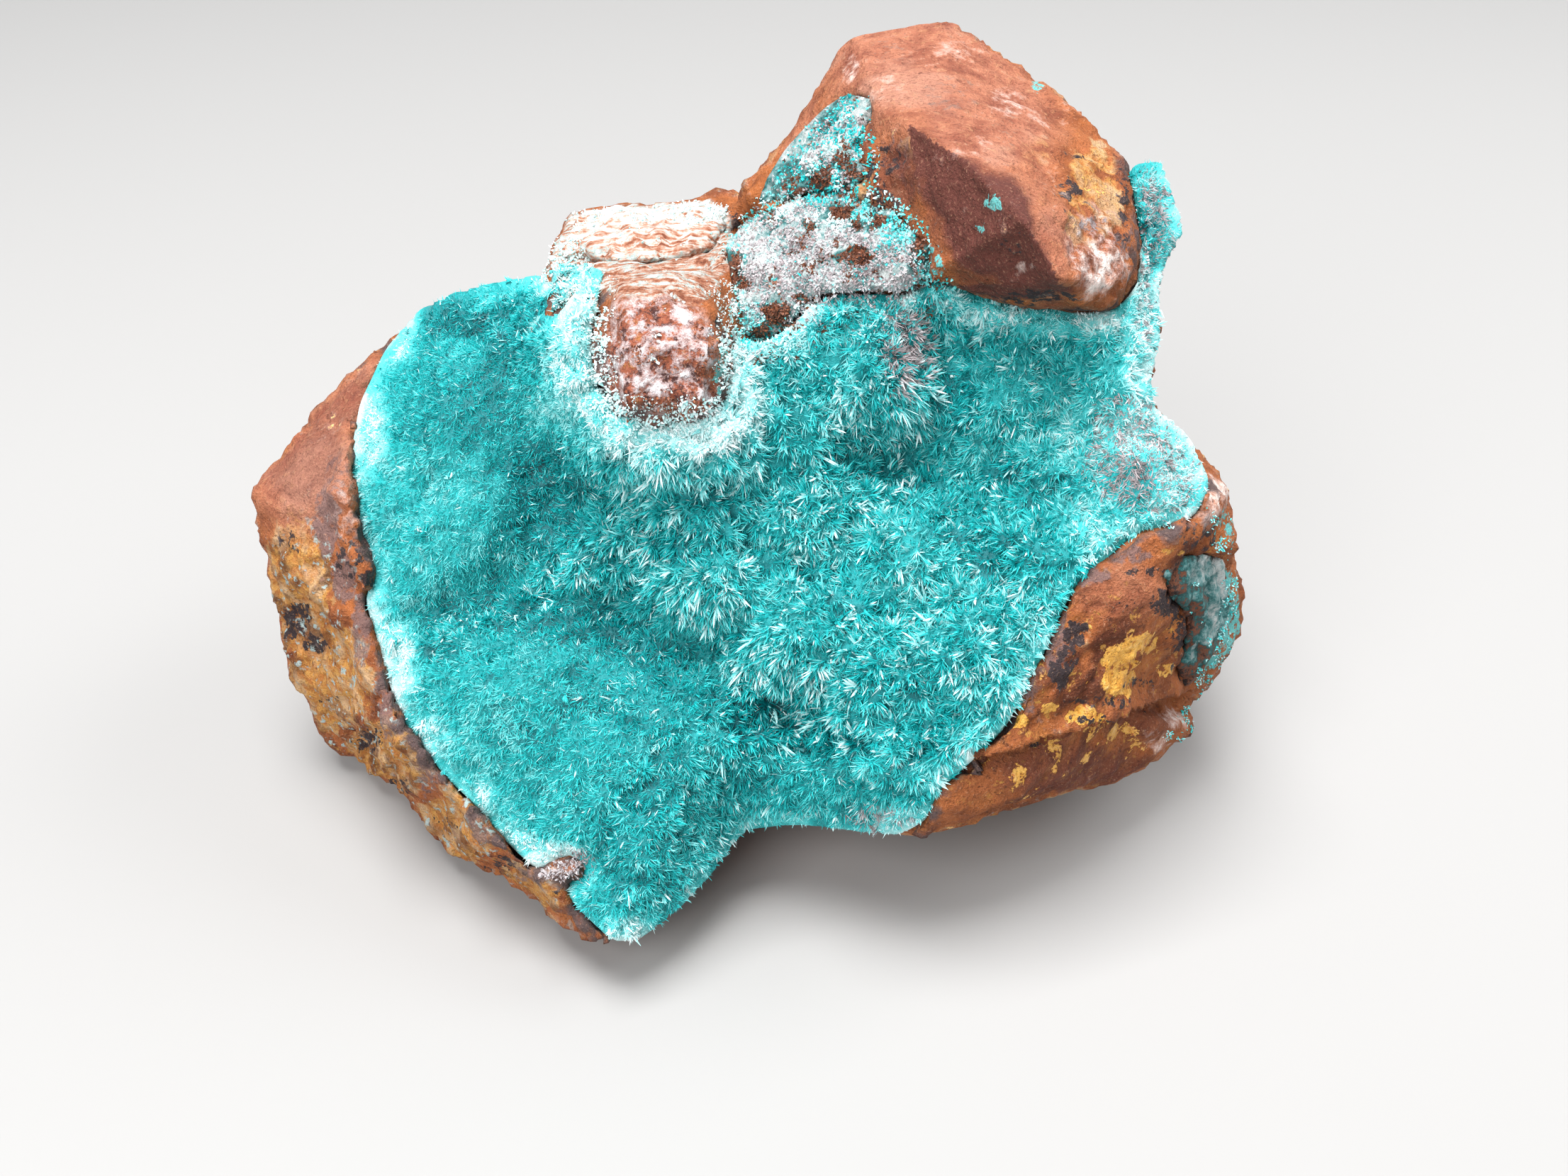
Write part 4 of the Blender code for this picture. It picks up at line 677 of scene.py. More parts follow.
# Markings of the stone, as across, up, radii, share
STONE_MARKS = {
    "terracotta": [
        (-27.5, 7.6, 3.6, 4.6, 1.0), (-25.2, 11.6, 2.6, 3.4, 1.0), (8.0, 30.0, 7.0, 4.4, 1.0),
        (11.4, 26.8, 4.6, 4.2, 1.0), (7.6, 27.4, 3.6, 2.4, 0.8), (15.0, 19.0, 1.4, 3.4, 0.8),
        (1.0, 26.0, 1.4, 3.0, 0.7), (13.4, 23.6, 2.2, 3.0, 0.7), (-8.0, 17.6, 2.6, 0.9, 0.8),
        (19.0, -0.2, 3.0, 1.6, 0.5), (-12.8, 19.8, 1.2, 1.6, 0.8),
    ],
    # Dark red-brown marks, partly the stone's own colour and partly painted shade: the peak's dark
    # front side, the slab below its ledge and the left wedge
    "maroon_and_painted_shade": [
        (11.6, 20.6, 3.0, 3.4, 1.0), (9.8, 22.6, 2.2, 2.2, 0.9), (13.4, 18.4, 2.0, 2.0, 0.8),
        (11.6, 18.0, 3.0, 1.6, 0.6), (8.6, 19.6, 1.2, 2.0, 0.5), (12.6, 16.9, 4.6, 0.5, 0.9),
        (-27.4, 7.6, 3.2, 3.6, 0.52), (-25.2, 11.4, 2.4, 3.0, 0.52), (17.0, -10.6, 6.5, 2.0, 0.6),
        (20.6, -7.6, 2.6, 1.4, 0.55), (4.4, 26.2, 1.0, 2.6, 0.6), (19.2, 24.4, 0.7, 2.0, 0.6),
        (6.6, 23.2, 1.8, 2.8, 0.62), (7.4, 20.6, 1.2, 1.6, 0.5), (18.0, -1.0, 3.6, 1.8, 0.28),
    ],
    "ochre": [
        (-27.6, 0.0, 2.4, 4.6, 0.8), (-25.8, -5.0, 2.8, 3.6, 0.85), (-22.6, -9.8, 2.8, 3.0, 0.8),
        (-18.6, -13.6, 2.8, 2.6, 0.75), (-14.4, -17.0, 2.6, 2.0, 0.7), (17.4, 22.4, 2.2, 3.6, 0.6),
        (14.2, 24.8, 1.2, 1.2, 0.6), (18.0, -4.0, 3.4, 3.0, 0.3), (5.6, 22.6, 2.0, 1.6, 0.5),
        (16.0, -9.0, 6.0, 2.4, 0.25), (7.4, 25.0, 0.9, 0.7, 0.8),
    ],
    "yellow": [
        (19.0, -4.7, 1.3, 1.6, 0.75), (20.4, -3.2, 1.4, 0.7, 0.65), (13.2, -7.6, 0.9, 0.5, 0.7),
        (17.0, -7.2, 1.2, 0.5, 0.7), (16.8, -5.2, 0.8, 0.4, 0.5), (21.6, -4.6, 0.7, 0.6, 0.5),
        (12.6, -11.0, 2.2, 1.2, 0.3), (16.0, -9.8, 2.4, 1.0, 0.3), (18.6, -8.8, 2.0, 1.2, 0.32),
        (17.6, -0.9, 0.8, 0.5, 0.4), (15.0, -6.8, 1.0, 0.4, 0.5), (17.0, 22.0, 1.4, 2.0, 0.2),
        (18.2, -2.0, 2.6, 1.4, 0.2), (15.2, -5.8, 1.8, 1.0, 0.2),
    ],
    "dark": [
        (-27.6, -1.8, 1.0, 1.2, 0.75), (-26.6, -3.2, 0.9, 0.7, 0.8), (-23.6, -8.6, 1.0, 0.9, 0.6),
        (-21.8, -11.2, 0.9, 0.7, 0.6), (-24.6, 1.6, 1.2, 1.6, 0.5), (-23.6, 0.5, 0.8, 0.6, 0.8),
        (16.6, -2.6, 0.9, 0.9, 0.8), (15.6, -4.9, 0.7, 1.0, 0.85), (16.2, 22.6, 0.7, 0.6, 0.7),
        (17.4, 20.6, 0.9, 0.5, 0.7), (4.4, 23.6, 1.4, 1.0, 0.75), (5.6, 22.0, 1.4, 0.8, 0.6),
        (22.4, -1.2, 1.0, 1.8, 0.5), (23.6, 3.0, 1.6, 1.0, 0.5), (-3.9, 14.0, 0.8, 2.0, 0.5),
        (14.4, 16.5, 3.0, 0.4, 0.6), (24.2, -3.6, 0.8, 1.6, 0.5), (-16.0, -15.6, 1.2, 0.6, 0.5),
        (19.2, 21.6, 0.45, 3.4, 0.6), (-3.2, 20.6, 1.0, 1.2, 0.6), (23.2, 1.2, 1.4, 0.4, 0.5),
        (16.0, -3.4, 1.5, 1.0, 0.35), (19.6, -1.0, 1.6, 0.5, 0.35), (18.6, -7.4, 3.6, 0.35, 0.5),
        (22.2, -3.6, 0.7, 2.2, 0.4), (3.6, 22.8, 1.6, 1.6, 0.4), (16.8, 24.4, 1.4, 0.5, 0.35),
        (5.8, 24.2, 1.2, 1.4, 0.45), (16.4, 21.6, 1.6, 2.6, 0.25), (13.4, 19.4, 1.4, 1.2, 0.3),
        (-12.4, -17.0, 0.8, 0.5, 0.5), (-25.8, -6.4, 1.0, 0.5, 0.4), (-12.0, -15.2, 0.8, 0.5, 0.9),
        (-19.4, -13.4, 1.2, 0.6, 0.4), (-28.2, 2.6, 0.9, 0.8, 0.45), (16.0, -4.2, 1.0, 1.2, 0.6),
        (20.0, -5.4, 1.6, 0.4, 0.5), (17.8, -6.4, 2.4, 0.35, 0.5), (13.6, -9.4, 2.2, 0.4, 0.6),
        (21.6, -0.8, 1.1, 0.9, 0.9), (21.0, 0.9, 1.8, 0.35, 0.6), (22.4, -2.4, 0.6, 1.8, 0.6),
    ],
    "violet": [
        (-25.9, 3.6, 0.9, 2.4, 0.85), (-25.0, 0.6, 0.8, 1.8, 0.85), (-24.0, -2.4, 0.6, 2.6, 0.8),
        (-22.5, -6.4, 0.6, 2.6, 0.75), (-20.2, -10.0, 0.7, 2.4, 0.7), (-17.1, -13.2, 0.8, 1.8, 0.7),
        (-14.2, -16.2, 1.2, 0.7, 0.7), (-11.6, -18.6, 1.4, 0.8, 0.6), (-25.4, 6.4, 0.8, 1.8, 0.5),
        (15.4, -2.4, 0.8, 3.4, 0.75), (17.0, 0.7, 1.8, 0.7, 0.85), (13.9, -5.8, 0.6, 1.8, 0.7),
        (19.6, 1.9, 1.6, 0.6, 0.7), (19.4, 19.0, 0.6, 2.4, 0.6), (12.0, 16.6, 4.0, 0.5, 0.5),
        (7.0, 22.6, 1.6, 1.6, 0.4), (18.2, 18.4, 1.2, 1.2, 0.35), (6.4, 24.4, 1.4, 1.6, 0.5),
        (9.4, 28.0, 2.4, 1.4, 0.36), (12.6, 26.0, 1.2, 1.6, 0.3), (6.0, 30.4, 1.6, 1.0, 0.34),
    ],
    "pale": [
        (-12.9, -15.8, 1.3, 0.8, 0.5), (-24.9, 4.6, 0.7, 1.6, 0.3),
        (9.2, 30.2, 2.6, 0.8, 0.3), (15.2, 26.8, 1.6, 0.7, 0.3), (5.6, 28.4, 1.2, 1.2, 0.26),
        (18.0, 18.0, 1.7, 1.9, 0.66), (12.6, 27.6, 1.2, 0.9, 0.5),
        (3.8, 29.6, 0.6, 1.0, 0.6), (24.0, 5.0, 1.4, 1.6, 0.6), (6.6, -13.7, 1.6, 0.7, 0.55),
        (22.6, -7.6, 0.9, 0.8, 0.6), (21.4, -8.6, 0.9, 0.6, 0.5), (10.6, 25.2, 1.4, 0.8, 0.3),
        (-12.6, -16.7, 0.9, 0.6, 0.6), (15.4, 22.4, 1.0, 1.4, 0.3), (-24.6, 3.4, 0.8, 1.0, 0.35),
        (13.6, 18.2, 0.7, 0.4, 0.5), (-4.0, 18.6, 1.4, 1.0, 0.5),
    ],
    "teal": [
        (11.9, 21.8, 0.7, 0.5, 0.75), (14.4, 28.6, 0.4, 0.6, 0.7), (11.0, 20.4, 0.5, 0.3, 0.6),
        (2.6, 22.6, 1.6, 1.0, 0.5), (25.2, 3.4, 0.8, 1.4, 0.5), (24.6, -5.0, 0.9, 1.6, 0.6),
        (25.4, -2.4, 0.8, 2.6, 0.7), (-4.6, 17.4, 1.2, 1.2, 0.5), (8.4, 18.6, 1.0, 1.0, 0.5),
        (-3.4, 12.0, 0.7, 2.0, 0.6), (20.6, 18.6, 0.5, 1.4, 0.5), (24.2, 0.4, 1.6, 1.0, 0.8),
    ],
    "streak": [
        (16.5, -4.0, 5.5, 5.0, 0.9), (15.0, -9.6, 7.0, 3.2, 0.8), (-27.4, -1.0, 3.0, 5.0, 0.7),
        (-23.0, -9.0, 4.0, 4.0, 0.7), (-17.0, -15.0, 4.0, 3.0, 0.7), (22.8, -1.8, 1.6, 3.0, 1.0),
        (23.2, 2.0, 2.4, 0.9, 1.0), (-12.0, -18.4, 3.0, 1.6, 0.6),
    ],
    "fleck": [
        (-27.0, -1.0, 3.0, 5.0, 1.0), (-24.0, -7.0, 4.0, 4.0, 1.0), (-19.0, -13.4, 4.0, 3.0, 1.0),
        (-14.0, -17.4, 3.0, 2.0, 0.6),
    ],
}
# Mottled, pitted and banded parts, as across, up, radii, share
MOTTLED = [
    (-7.2, 13.2, 3.2, 3.8, 1.3), (-5.4, 11.0, 2.0, 1.8, 1.2), (-9.0, 12.4, 1.8, 3.0, 1.1),
    (17.6, 19.4, 1.6, 2.4, 0.5),
]
PITTED = [
    (17.2, 21.6, 2.6, 4.4, 1.2), (18.2, 18.0, 1.8, 2.0, 1.0), (5.8, 23.4, 1.8, 2.6, 1.0),
    (-27.4, -1.6, 2.6, 4.4, 0.8), (-23.4, -8.8, 3.0, 3.4, 0.7), (-24.6, 2.6, 1.4, 3.4, 1.2),
]
BANDED = [
    (-8.4, 20.4, 5.2, 2.2, 1.2), (-12.0, 19.2, 2.0, 1.8, 0.9), (-5.0, 19.0, 2.4, 1.6, 0.8),
    (-9.0, 17.8, 3.6, 1.4, 0.9), (-5.4, 17.6, 1.8, 1.6, 0.7),
]
# Line of the ledge on the slab, and how common each marking is where the eye doesn't see
LEDGE = [(11.6, -9.6), (14.6, -8.6), (17.0, -7.9), (19.2, -7.0), (20.8, -6.5), (22.8, -5.6)]
HIDDEN_SHARES = {"terracotta": 0.35, "ochre": 0.30, "dark": 0.16, "violet": 0.18, "streak": 0.35,
                 "yellow": 0.12, "fleck": 0.25, "pale": 0.05}


def barycentric(across, up, corners):
    a, b, c = corners
    turn = (b[0] - a[0]) * (c[1] - a[1]) - (c[0] - a[0]) * (b[1] - a[1])
    second = ((across - a[0]) * (c[1] - a[1]) - (c[0] - a[0]) * (up - a[1])) / turn
    third = ((b[0] - a[0]) * (up - a[1]) - (across - a[0]) * (b[1] - a[1])) / turn
    return second, third


def to_stretch(across, up, start, end):
    """Distance to the stretch between two corners, and which places lie below its line."""
    run, rise = end[0] - start[0], end[1] - start[1]
    side, height = across - start[0], up - start[1]
    share = np.clip((side * run + height * rise) / (run * run + rise * rise), 0.0, 1.0)
    return np.hypot(side - run * share, height - rise * share), height * run < side * rise


def edge_gap(across, up, edge):
    """Distance to a closed edge in the front view."""
    gaps = [to_stretch(across, up, edge[index - 1], edge[index])[0] for index in range(len(edge))]
    return np.min(gaps, axis=0)


def within(across, up, edge):
    held = np.zeros(len(across), dtype=bool)
    for index in range(len(edge)):
        (ax, ay), (bx, by) = edge[index - 1], edge[index]
        if ay != by:
            held ^= ((ay > up) != (by > up)) & (across < (bx - ax) * (up - ay) / (by - ay) + ax)
    return held


def broken_sides(places, normals):
    """Places drawn to the flat sides of the peak, with the share of the side painted red-brown,
    partly as painted shade.
    """
    across, up, near = in_view(places)
    flat = np.full(len(places), np.nan)
    dark = np.zeros(len(places))
    for number, side in enumerate(PEAK_SIDES):
        corners = PEAK_CORNERS[list(side)]
        second, third = barycentric(across, up, corners)
        held = (second >= -1e-6) & (third >= -1e-6) & (second + third <= 1.0 + 1e-6)
        level = corners[0, 2] + second * (corners[1, 2] - corners[0, 2]) \
            + third * (corners[2, 2] - corners[0, 2])
        flat = np.where(held, level, flat)
        if number in MAROON_AND_SHADE_SIDES:
            dark = np.where(held, 1.0, dark)
    near_enough = ~np.isnan(flat) & (facing_eye(places, normals) > -0.05)
    step = np.where(near_enough, flat - near, 0.0)
    step = np.where(np.abs(step) < 3.0, step, 0.0)
    pull = np.clip(edge_gap(across, up, PEAK_CORNERS[PEAK_BORDER]) / 0.7, 0.0, 1.0)
    # The painting of that side fades toward the lower left
    dark *= np.clip(0.35 + (across - 8.0) * 0.08 + (up - 17.5) * 0.07, 0.25, 1.0)
    return seen(across, up, near + step * pull), dark


def ledge(across, up):
    """Step across the slab: raised along its line and cut back below it."""
    gap = np.full(len(across), 9.0)
    below = np.zeros(len(across), dtype=bool)
    for start, end in zip(LEDGE[:-1], LEDGE[1:]):
        here, under = to_stretch(across, up, start, end)
        below = np.where(here < gap, under, below)
        gap = np.minimum(gap, here)
    raised = 0.4 * np.exp(-(gap / 0.8) ** 2)
    cut = -1.1 * np.exp(-((gap - 0.7) / 0.75) ** 2)
    return np.where(below, cut, raised)


def band_tone(places, across, up):
    """Tone of the streaks on the shelf: rust, cream, white and aqua, whiter to the ridge."""
    rise = np.clip((up - 20.4) / 1.0, 0.0, 1.0)
    spots = layered_noise(places, 1.8, 137, 3)
    return np.clip(0.46 + 0.32 * rise + 0.3 * spots, 0.0, 1.0)


def behind_crust(places):
    """Which places the crust hides from the eye."""
    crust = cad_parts["aurichalcite_crust"].data
    corners = [(vertex.co / MM).to_tuple() for vertex in crust.vertices]
    shell = BVHTree.FromPolygons(corners, [list(face.vertices) for face in crust.polygons])
    eye = Vector(EYE)
    hidden = np.zeros(len(places), dtype=bool)
    for index, place in enumerate(places):
        aim = Vector(place) - eye
        hit = shell.ray_cast(eye, aim.normalized(), aim.length - 0.3)[0]
        hidden[index] = hit is not None
    return hidden


def mark_stone(mesh, places, across, up, front, maroon_and_shade_side):
    """Keeps the share of each marking, spread by noise where the eye doesn't see."""
    patchy = layered_noise(places, 9.0, 31, 2)
    for number, (name, marks) in enumerate(STONE_MARKS.items()):
        marked = zone_share(marks, across, up)
        # The peak's dark front side joins these marks, partly as painted shade
        if name == "maroon_and_painted_shade":
            marked = np.maximum(marked, maroon_and_shade_side * 0.9)
        wild = HIDDEN_SHARES.get(name, 0.0)
        other = np.clip(wild * (1.0 + 1.6 * layered_noise(places, 7.0, 40 + number * 7, 2)), 0.0, 1.0)
        if name == "terracotta":
            other = np.clip(other + 0.5 * patchy, 0.0, 1.0)
        add_share(mesh, name, marked * front + other * (1.0 - front))


def stone():
    piece = regrown("limonite_matrix", "stone", STONE_VOXEL, 2)
    mesh = piece.data
    places = get_places(mesh)
    covered = (facing_eye(places, get_normals(mesh)) < 0.0) | behind_crust(places)
    split_faces(mesh, ~covered)

    places, maroon_and_shade_side = broken_sides(get_places(mesh), get_normals(mesh))
    set_places(mesh, places)
    normals = get_normals(mesh)
    across, up, _ = in_view(places)
    front = smooth_step(facing_eye(places, normals), -0.12, 0.12)
    calm, mottled, pitted, fibrous, banded = (
        held_share(zones, across, up) * front
        for zones in (STONE_MARKS["terracotta"], MOTTLED, PITTED, STONE_MARKS["streak"], BANDED)
    )
    chips = chipped_noise(places, 2.6, 5)
    small = chipped_noise(places, 0.9, 11)
    grain = layered_noise(stretched(places, STREAK_AIM, 4.0), 0.9, 21, 3)
    crumbled = layered_noise(places, 0.55, 33, 2)
    lift = 0.42 * chips * (1.0 - 0.6 * calm)
    lift += 0.20 * small * (1.0 - 0.4 * calm + 0.9 * mottled + 0.9 * pitted)
    lift += (0.16 + 0.22 * fibrous) * grain * (1.0 - 0.7 * calm)
    lift += 0.10 * layered_noise(stretched(places, STREAK_AIM, 3.0), 0.4, 27, 2)
    lift += 0.16 * crumbled * (fibrous + pitted)
    lift += (0.9 * chipped_noise(places, 6.5, 41, 0.7) + 0.25 * crumbled) * (1.0 - front)
    lift += ledge(across, up) * front
    set_places(mesh, places + normals * lift[:, None])

    crust = finder(get_places(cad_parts["aurichalcite_crust"].data) / MM)
    gaps = nearest(crust, places)[1]
    add_share(mesh, "banded", smooth_step(banded + 0.25 * small, 0.25, 0.5))
    add_share(mesh, "band_tone", band_tone(places, across, up))
    # A dark band on the stone along the crust, partly its own purple-brown and partly painted shade
    # where the crust meets it
    add_share(mesh, "rim", np.clip(1.15 - gaps / 1.3, 0.0, 1.0) * (1.0 - 0.75 * calm))
    add_share(mesh, "grain", grain)
    add_share(mesh, "mottled", mottled)
    mark_stone(mesh, places, across, up, front, maroon_and_shade_side)
    mesh.materials.append(stone_material())
    settle(piece, "limonite_matrix")
    return piece


# The crystal crust

def tuft_places(places, sizes, seed):
    """Chosen tuft centres, no two closer than their size, as numbers of places."""
    grid = {}
    chosen = []
    for index in np.random.RandomState(seed).permutation(len(places)):
        place = tuple(places[index])
        size = sizes[index]
        key = tuple(int(c) for c in np.floor(place))
        others = (
            other for step in CELLS_AROUND
            for other in grid.get((key[0] + step[0], key[1] + step[1], key[2] + step[2]), ())
        )
        if all(sum((b - a) ** 2 for a, b in zip(place, spot)) >= (0.5 * (gap + size)) ** 2
               for spot, gap in others):
            grid.setdefault(key, []).append((place, size))
            chosen.append(index)
    return np.array(chosen)


def fineness(across, up):
    return held_share(FINE_ZONES, across, up)


def pale_share(across, up):
    return held_share(PALE_ZONES, across, up, 0.95)


def creases(places):
    return np.clip(0.35 - np.abs(layered_noise(places, 3.4, 89, 2)) * 3.2, 0.0, 0.35) / 0.35


def crust_shade(places, across, up, rim_gaps):
    """Shade of the crystals at places of the crust."""
    drift = layered_noise(places, 5.0, 71, 3)
    mottling = layered_noise(places, 0.9, 79, 2)
    shade = TURQUOISE + 0.035 * drift + 0.05 * mottling
    # Painted shade darkens the hollows and creases, and painted light lifts the parts where the
    # peak's shadow falls
    shade = shade - 0.13 * zone_share(SHADED_HOLLOW_ZONES, across, up) - 0.09 * creases(places)
    shade = shade + 0.055 * zone_share(PAINTED_LIGHT_ZONES, across, up)
    pale = zone_share(PALE_ZONES, across, up)
    torn = np.clip(pale + 0.25 * layered_noise(places, 0.9, 83, 2) * (pale > 0.05), 0.0, 1.0)
    shade = shade + (WHITE - shade) * torn
    rim = np.clip(1.2 - rim_gaps / 1.4, 0.0, 1.0) \
        * np.clip(0.32 + 1.5 * layered_noise(places, 1.5, 87, 3), 0.0, 1.0)
    return shade + (RIM_WHITE - shade) * rim


def crust_ground():
    """The crust under its needles, domed at each tuft."""
    piece = regrown("aurichalcite_crust", "crust_ground", CRUST_VOXEL, 6)
    mesh = piece.data
    places = get_places(mesh)
    normals = get_normals(mesh)
    across, up, _ = in_view(places)
    facing = facing_eye(places, normals)
    front = smooth_step(facing, -0.05, 0.3)
    fine = fineness(across, up)
    sizes = TUFT_SIZE - 0.6 * fine
    outer = np.where(facing > 0.0)[0]
    chosen = outer[tuft_places(places[outer], sizes[outer], 11)]
    tufts, gaps = nearest(finder(places[chosen]), places)
    rim_gaps = nearest(finder(places[np.abs(facing) < 0.12]), places)[1]
    pale = pale_share(across, up)
    pale = np.maximum(pale, 0.7 * np.clip(1.2 - rim_gaps / 1.4, 0.0, 1.0) * (across < 0.0))

    dome = np.clip(1.0 - (gaps / (0.62 * sizes[chosen][tufts])) ** 2, -0.6, 1.0)
    clumps = layered_noise(places, 2.6, 91, 2)
    lumps = 0.5 - np.abs(layered_noise(places, 1.1, 95, 2)) * 2.0
    lift = -0.34 + dome * (0.32 - 0.2 * fine) + 0.36 * clumps * (1.0 - 0.6 * fine)
    lift = lift - 0.5 * creases(places) * (1.0 - 0.55 * fine)
    lift = lift - 0.4 * held_share(SHADED_HOLLOW_ZONES, across, up) + 0.5 * lumps * pale
    lift = front * lift + (1.0 - front) * 0.22
    set_places(mesh, places + normals * lift[:, None])
    # Painted shade: the ground is darkened where it faces the eye, under the needles
    shade = crust_shade(places, across, up, rim_gaps) - 0.06 * front
    add_share(mesh, "shade", np.clip(shade, 0.0, 0.49))
    mesh.materials.append(ground_material())
    centres = places[chosen] - normals[chosen] * (0.6 * sizes[chosen])[:, None]
    return SimpleNamespace(piece=piece, centres=centres, tufts=tufts, front=front, rim_gaps=rim_gaps)


def unit(vectors):
    return vectors / np.maximum(np.linalg.norm(vectors, axis=1), 1e-9)[:, None]


def scatter(crust, weights_of, count, seed):
    """Random roots on the front of the crust, with what the place asks of their crystals."""
    mesh = crust.piece.data
    mesh.calc_loop_triangles()
    corners = np.empty(len(mesh.loop_triangles) * 3, dtype=np.int32)
    mesh.loop_triangles.foreach_get("vertices", corners)
    corners = corners.reshape(-1, 3)
    places = get_places(mesh)
    first, second, third = (places[corners[:, k]] for k in range(3))
    area = 0.5 * np.linalg.norm(np.cross(second - first, third - first), axis=1)
    open_share = np.clip(crust.front[corners].mean(axis=1), 0.0, 1.0)
    across, up, _ = in_view((first + second + third) / 3.0)
    weight = area * open_share * weights_of(across, up)
    random = np.random.RandomState(seed)
    picked = random.choice(len(corners), size=count, p=weight / weight.sum())
    a = random.rand(count)
    b = random.rand(count)
    flip = a + b > 1.0
    a = np.where(flip, 1.0 - a, a)
    b = np.where(flip, 1.0 - b, b)
    c = 1.0 - a - b
    rows = corners[picked]

    def between(values):
        return values[rows[:, 0]] * c[:, None] + values[rows[:, 1]] * a[:, None] \
            + values[rows[:, 2]] * b[:, None]

    spot = between(places)
    lean = between(get_normals(mesh))
    lean /= np.linalg.norm(lean, axis=1)[:, None]
    tuft = crust.tufts[rows[:, 0]]
    rim_gaps = crust.rim_gaps[rows[:, 0]]
    across, up, _ = in_view(spot)
    return SimpleNamespace(
        spot=spot, lean=lean, tuft=tuft, across=across, up=up, random=random,
        spray=unit(spot - crust.centres[tuft]),
        fine=fineness(across, up),
        pale=pale_share(across, up),
        glint=zone_share(PAINTED_GLINT_ZONES, across, up),
        dull=zone_share(DULL_ZONES, across, up),
        short=np.clip(0.6 + rim_gaps / 3.0, 0.6, 1.0),
        shade=crust_shade(spot, across, up, rim_gaps),
    )


def side_axes(aims, random):
    """Two directions across each needle, turned at random."""
    helper = unit(random.normal(size=aims.shape))
    first = unit(np.cross(aims, helper))
    second = np.cross(aims, first)
    return first, second


def spikes(name, roots, aims, lengths, widths, flatness, shades, collar, random, wide=None):
    """Joined needles: each has three sides, straight to its collar and then to a point."""
    count = len(roots)
    if wide is None:
        first, second = side_axes(aims, random)
    else:
        second = unit(np.cross(aims, wide))
        first = np.cross(second, aims)
    flatness = np.broadcast_to(flatness, count)
    rings = []
    tips = []
    stations = [(0.0, 1.0, 0.0)]
    if collar:
        stations.append((collar, 0.9, 0.75))
    for along, breadth, tip in stations:
        centre = roots + aims * (lengths * along)[:, None]
        for side in range(3):
            angle = side * math.tau / 3.0
            offset = first * math.cos(angle) + second * (math.sin(angle) * flatness)[:, None]
            rings.append(centre + offset * (widths * 0.5 * breadth)[:, None])
            tips.append(np.full(count, tip))
    rings.append(roots + aims * lengths[:, None])
    tips.append(np.ones(count))
    per = len(rings)
    point = per - 1
    faces = []
    for side in range(3):
        after = (side + 1) % 3
        if collar:
            faces += [(side, after, 3 + after), (side, 3 + after, 3 + side)]
            faces.append((3 + side, 3 + after, point))
        else:
            faces.append((side, after, point))
    corners = (np.arange(count)[:, None, None] * per + np.array(faces)[None]).reshape(-1, 3)
    mesh = bpy.data.meshes.new(name)
    mesh.vertices.add(count * per)
    mesh.loops.add(corners.size)
    mesh.polygons.add(len(corners))
    mesh.loops.foreach_set("vertex_index", corners.ravel().astype(np.int32))
    mesh.polygons.foreach_set("loop_start", np.arange(0, corners.size, 3, dtype=np.int32))
    set_places(mesh, np.stack(rings, axis=1).reshape(-1, 3))
    mesh.update(calc_edges=True)
    mesh.validate()
    add_share(mesh, "tip", np.stack(tips, axis=1).ravel())
    add_share(mesh, "shade", np.repeat(shades, per))
    mesh.materials.append(bpy.data.materials[NEEDLES])
    settle(add_object(name, mesh), None, smooth=False)


def fuzz(crust):
    """Short fine needles over the whole crust, thickest in the velvety parts."""

    def density(across, up):
        return 0.45 + 1.0 * fineness(across, up) + 0.5 * pale_share(across, up)

    at = scatter(crust, density, FUZZ, 23)
    random = at.random
    fine, pale = at.fine, at.pale
    wild = random.normal(size=at.spot.shape)
    aims = unit(at.lean * 0.55 + at.spray * (0.8 - 0.3 * fine)[:, None]
                + wild * (0.34 + 0.25 * pale)[:, None])
    lengths = (NEEDLE_LENGTH - 0.22 * fine) * (1.0 - 0.55 * pale) * (0.6 + 0.8 * random.rand(FUZZ))
    lengths *= at.short
    widths = (NEEDLE_WIDTH - 0.035 * fine + 0.04 * pale) * (0.7 + 0.8 * random.rand(FUZZ))
    flatness = 0.35 + 0.5 * random.rand(FUZZ)
    tuft_tone = np.random.RandomState(5).normal(size=len(crust.centres))[at.tuft]
    shade = at.shade + 0.026 * tuft_tone + 0.05 * (1.1 - 0.6 * fine) * random.normal(size=FUZZ)
    # Painted highlights: some needles are painted pale as glints, more of them in the glinting
    # clusters
    painted_glint = random.rand(FUZZ) < 0.10 - 0.06 * fine + 0.08 * at.glint
    shade = np.where(painted_glint, np.maximum(shade, 0.31 + 0.15 * random.rand(FUZZ)), shade)
    shade = np.clip(shade, 0.01, 0.5)
    dull = at.dull > random.rand(FUZZ)
    shade = np.where(dull, GREY_FROM + GREY_SPREAD * random.rand(FUZZ), shade)
    roots = at.spot - aims * NEEDLE_SINK
    order = np.argsort(at.across, kind="stable")
    for number, start in enumerate(range(0, FUZZ, FUZZ_PIECE)):
        now = order[start:start + FUZZ_PIECE]
        spikes("needles_%d" % (number + 1), roots[now], aims[now], lengths[now],
               widths[now], flatness[now], shade[now], 0.0, random)


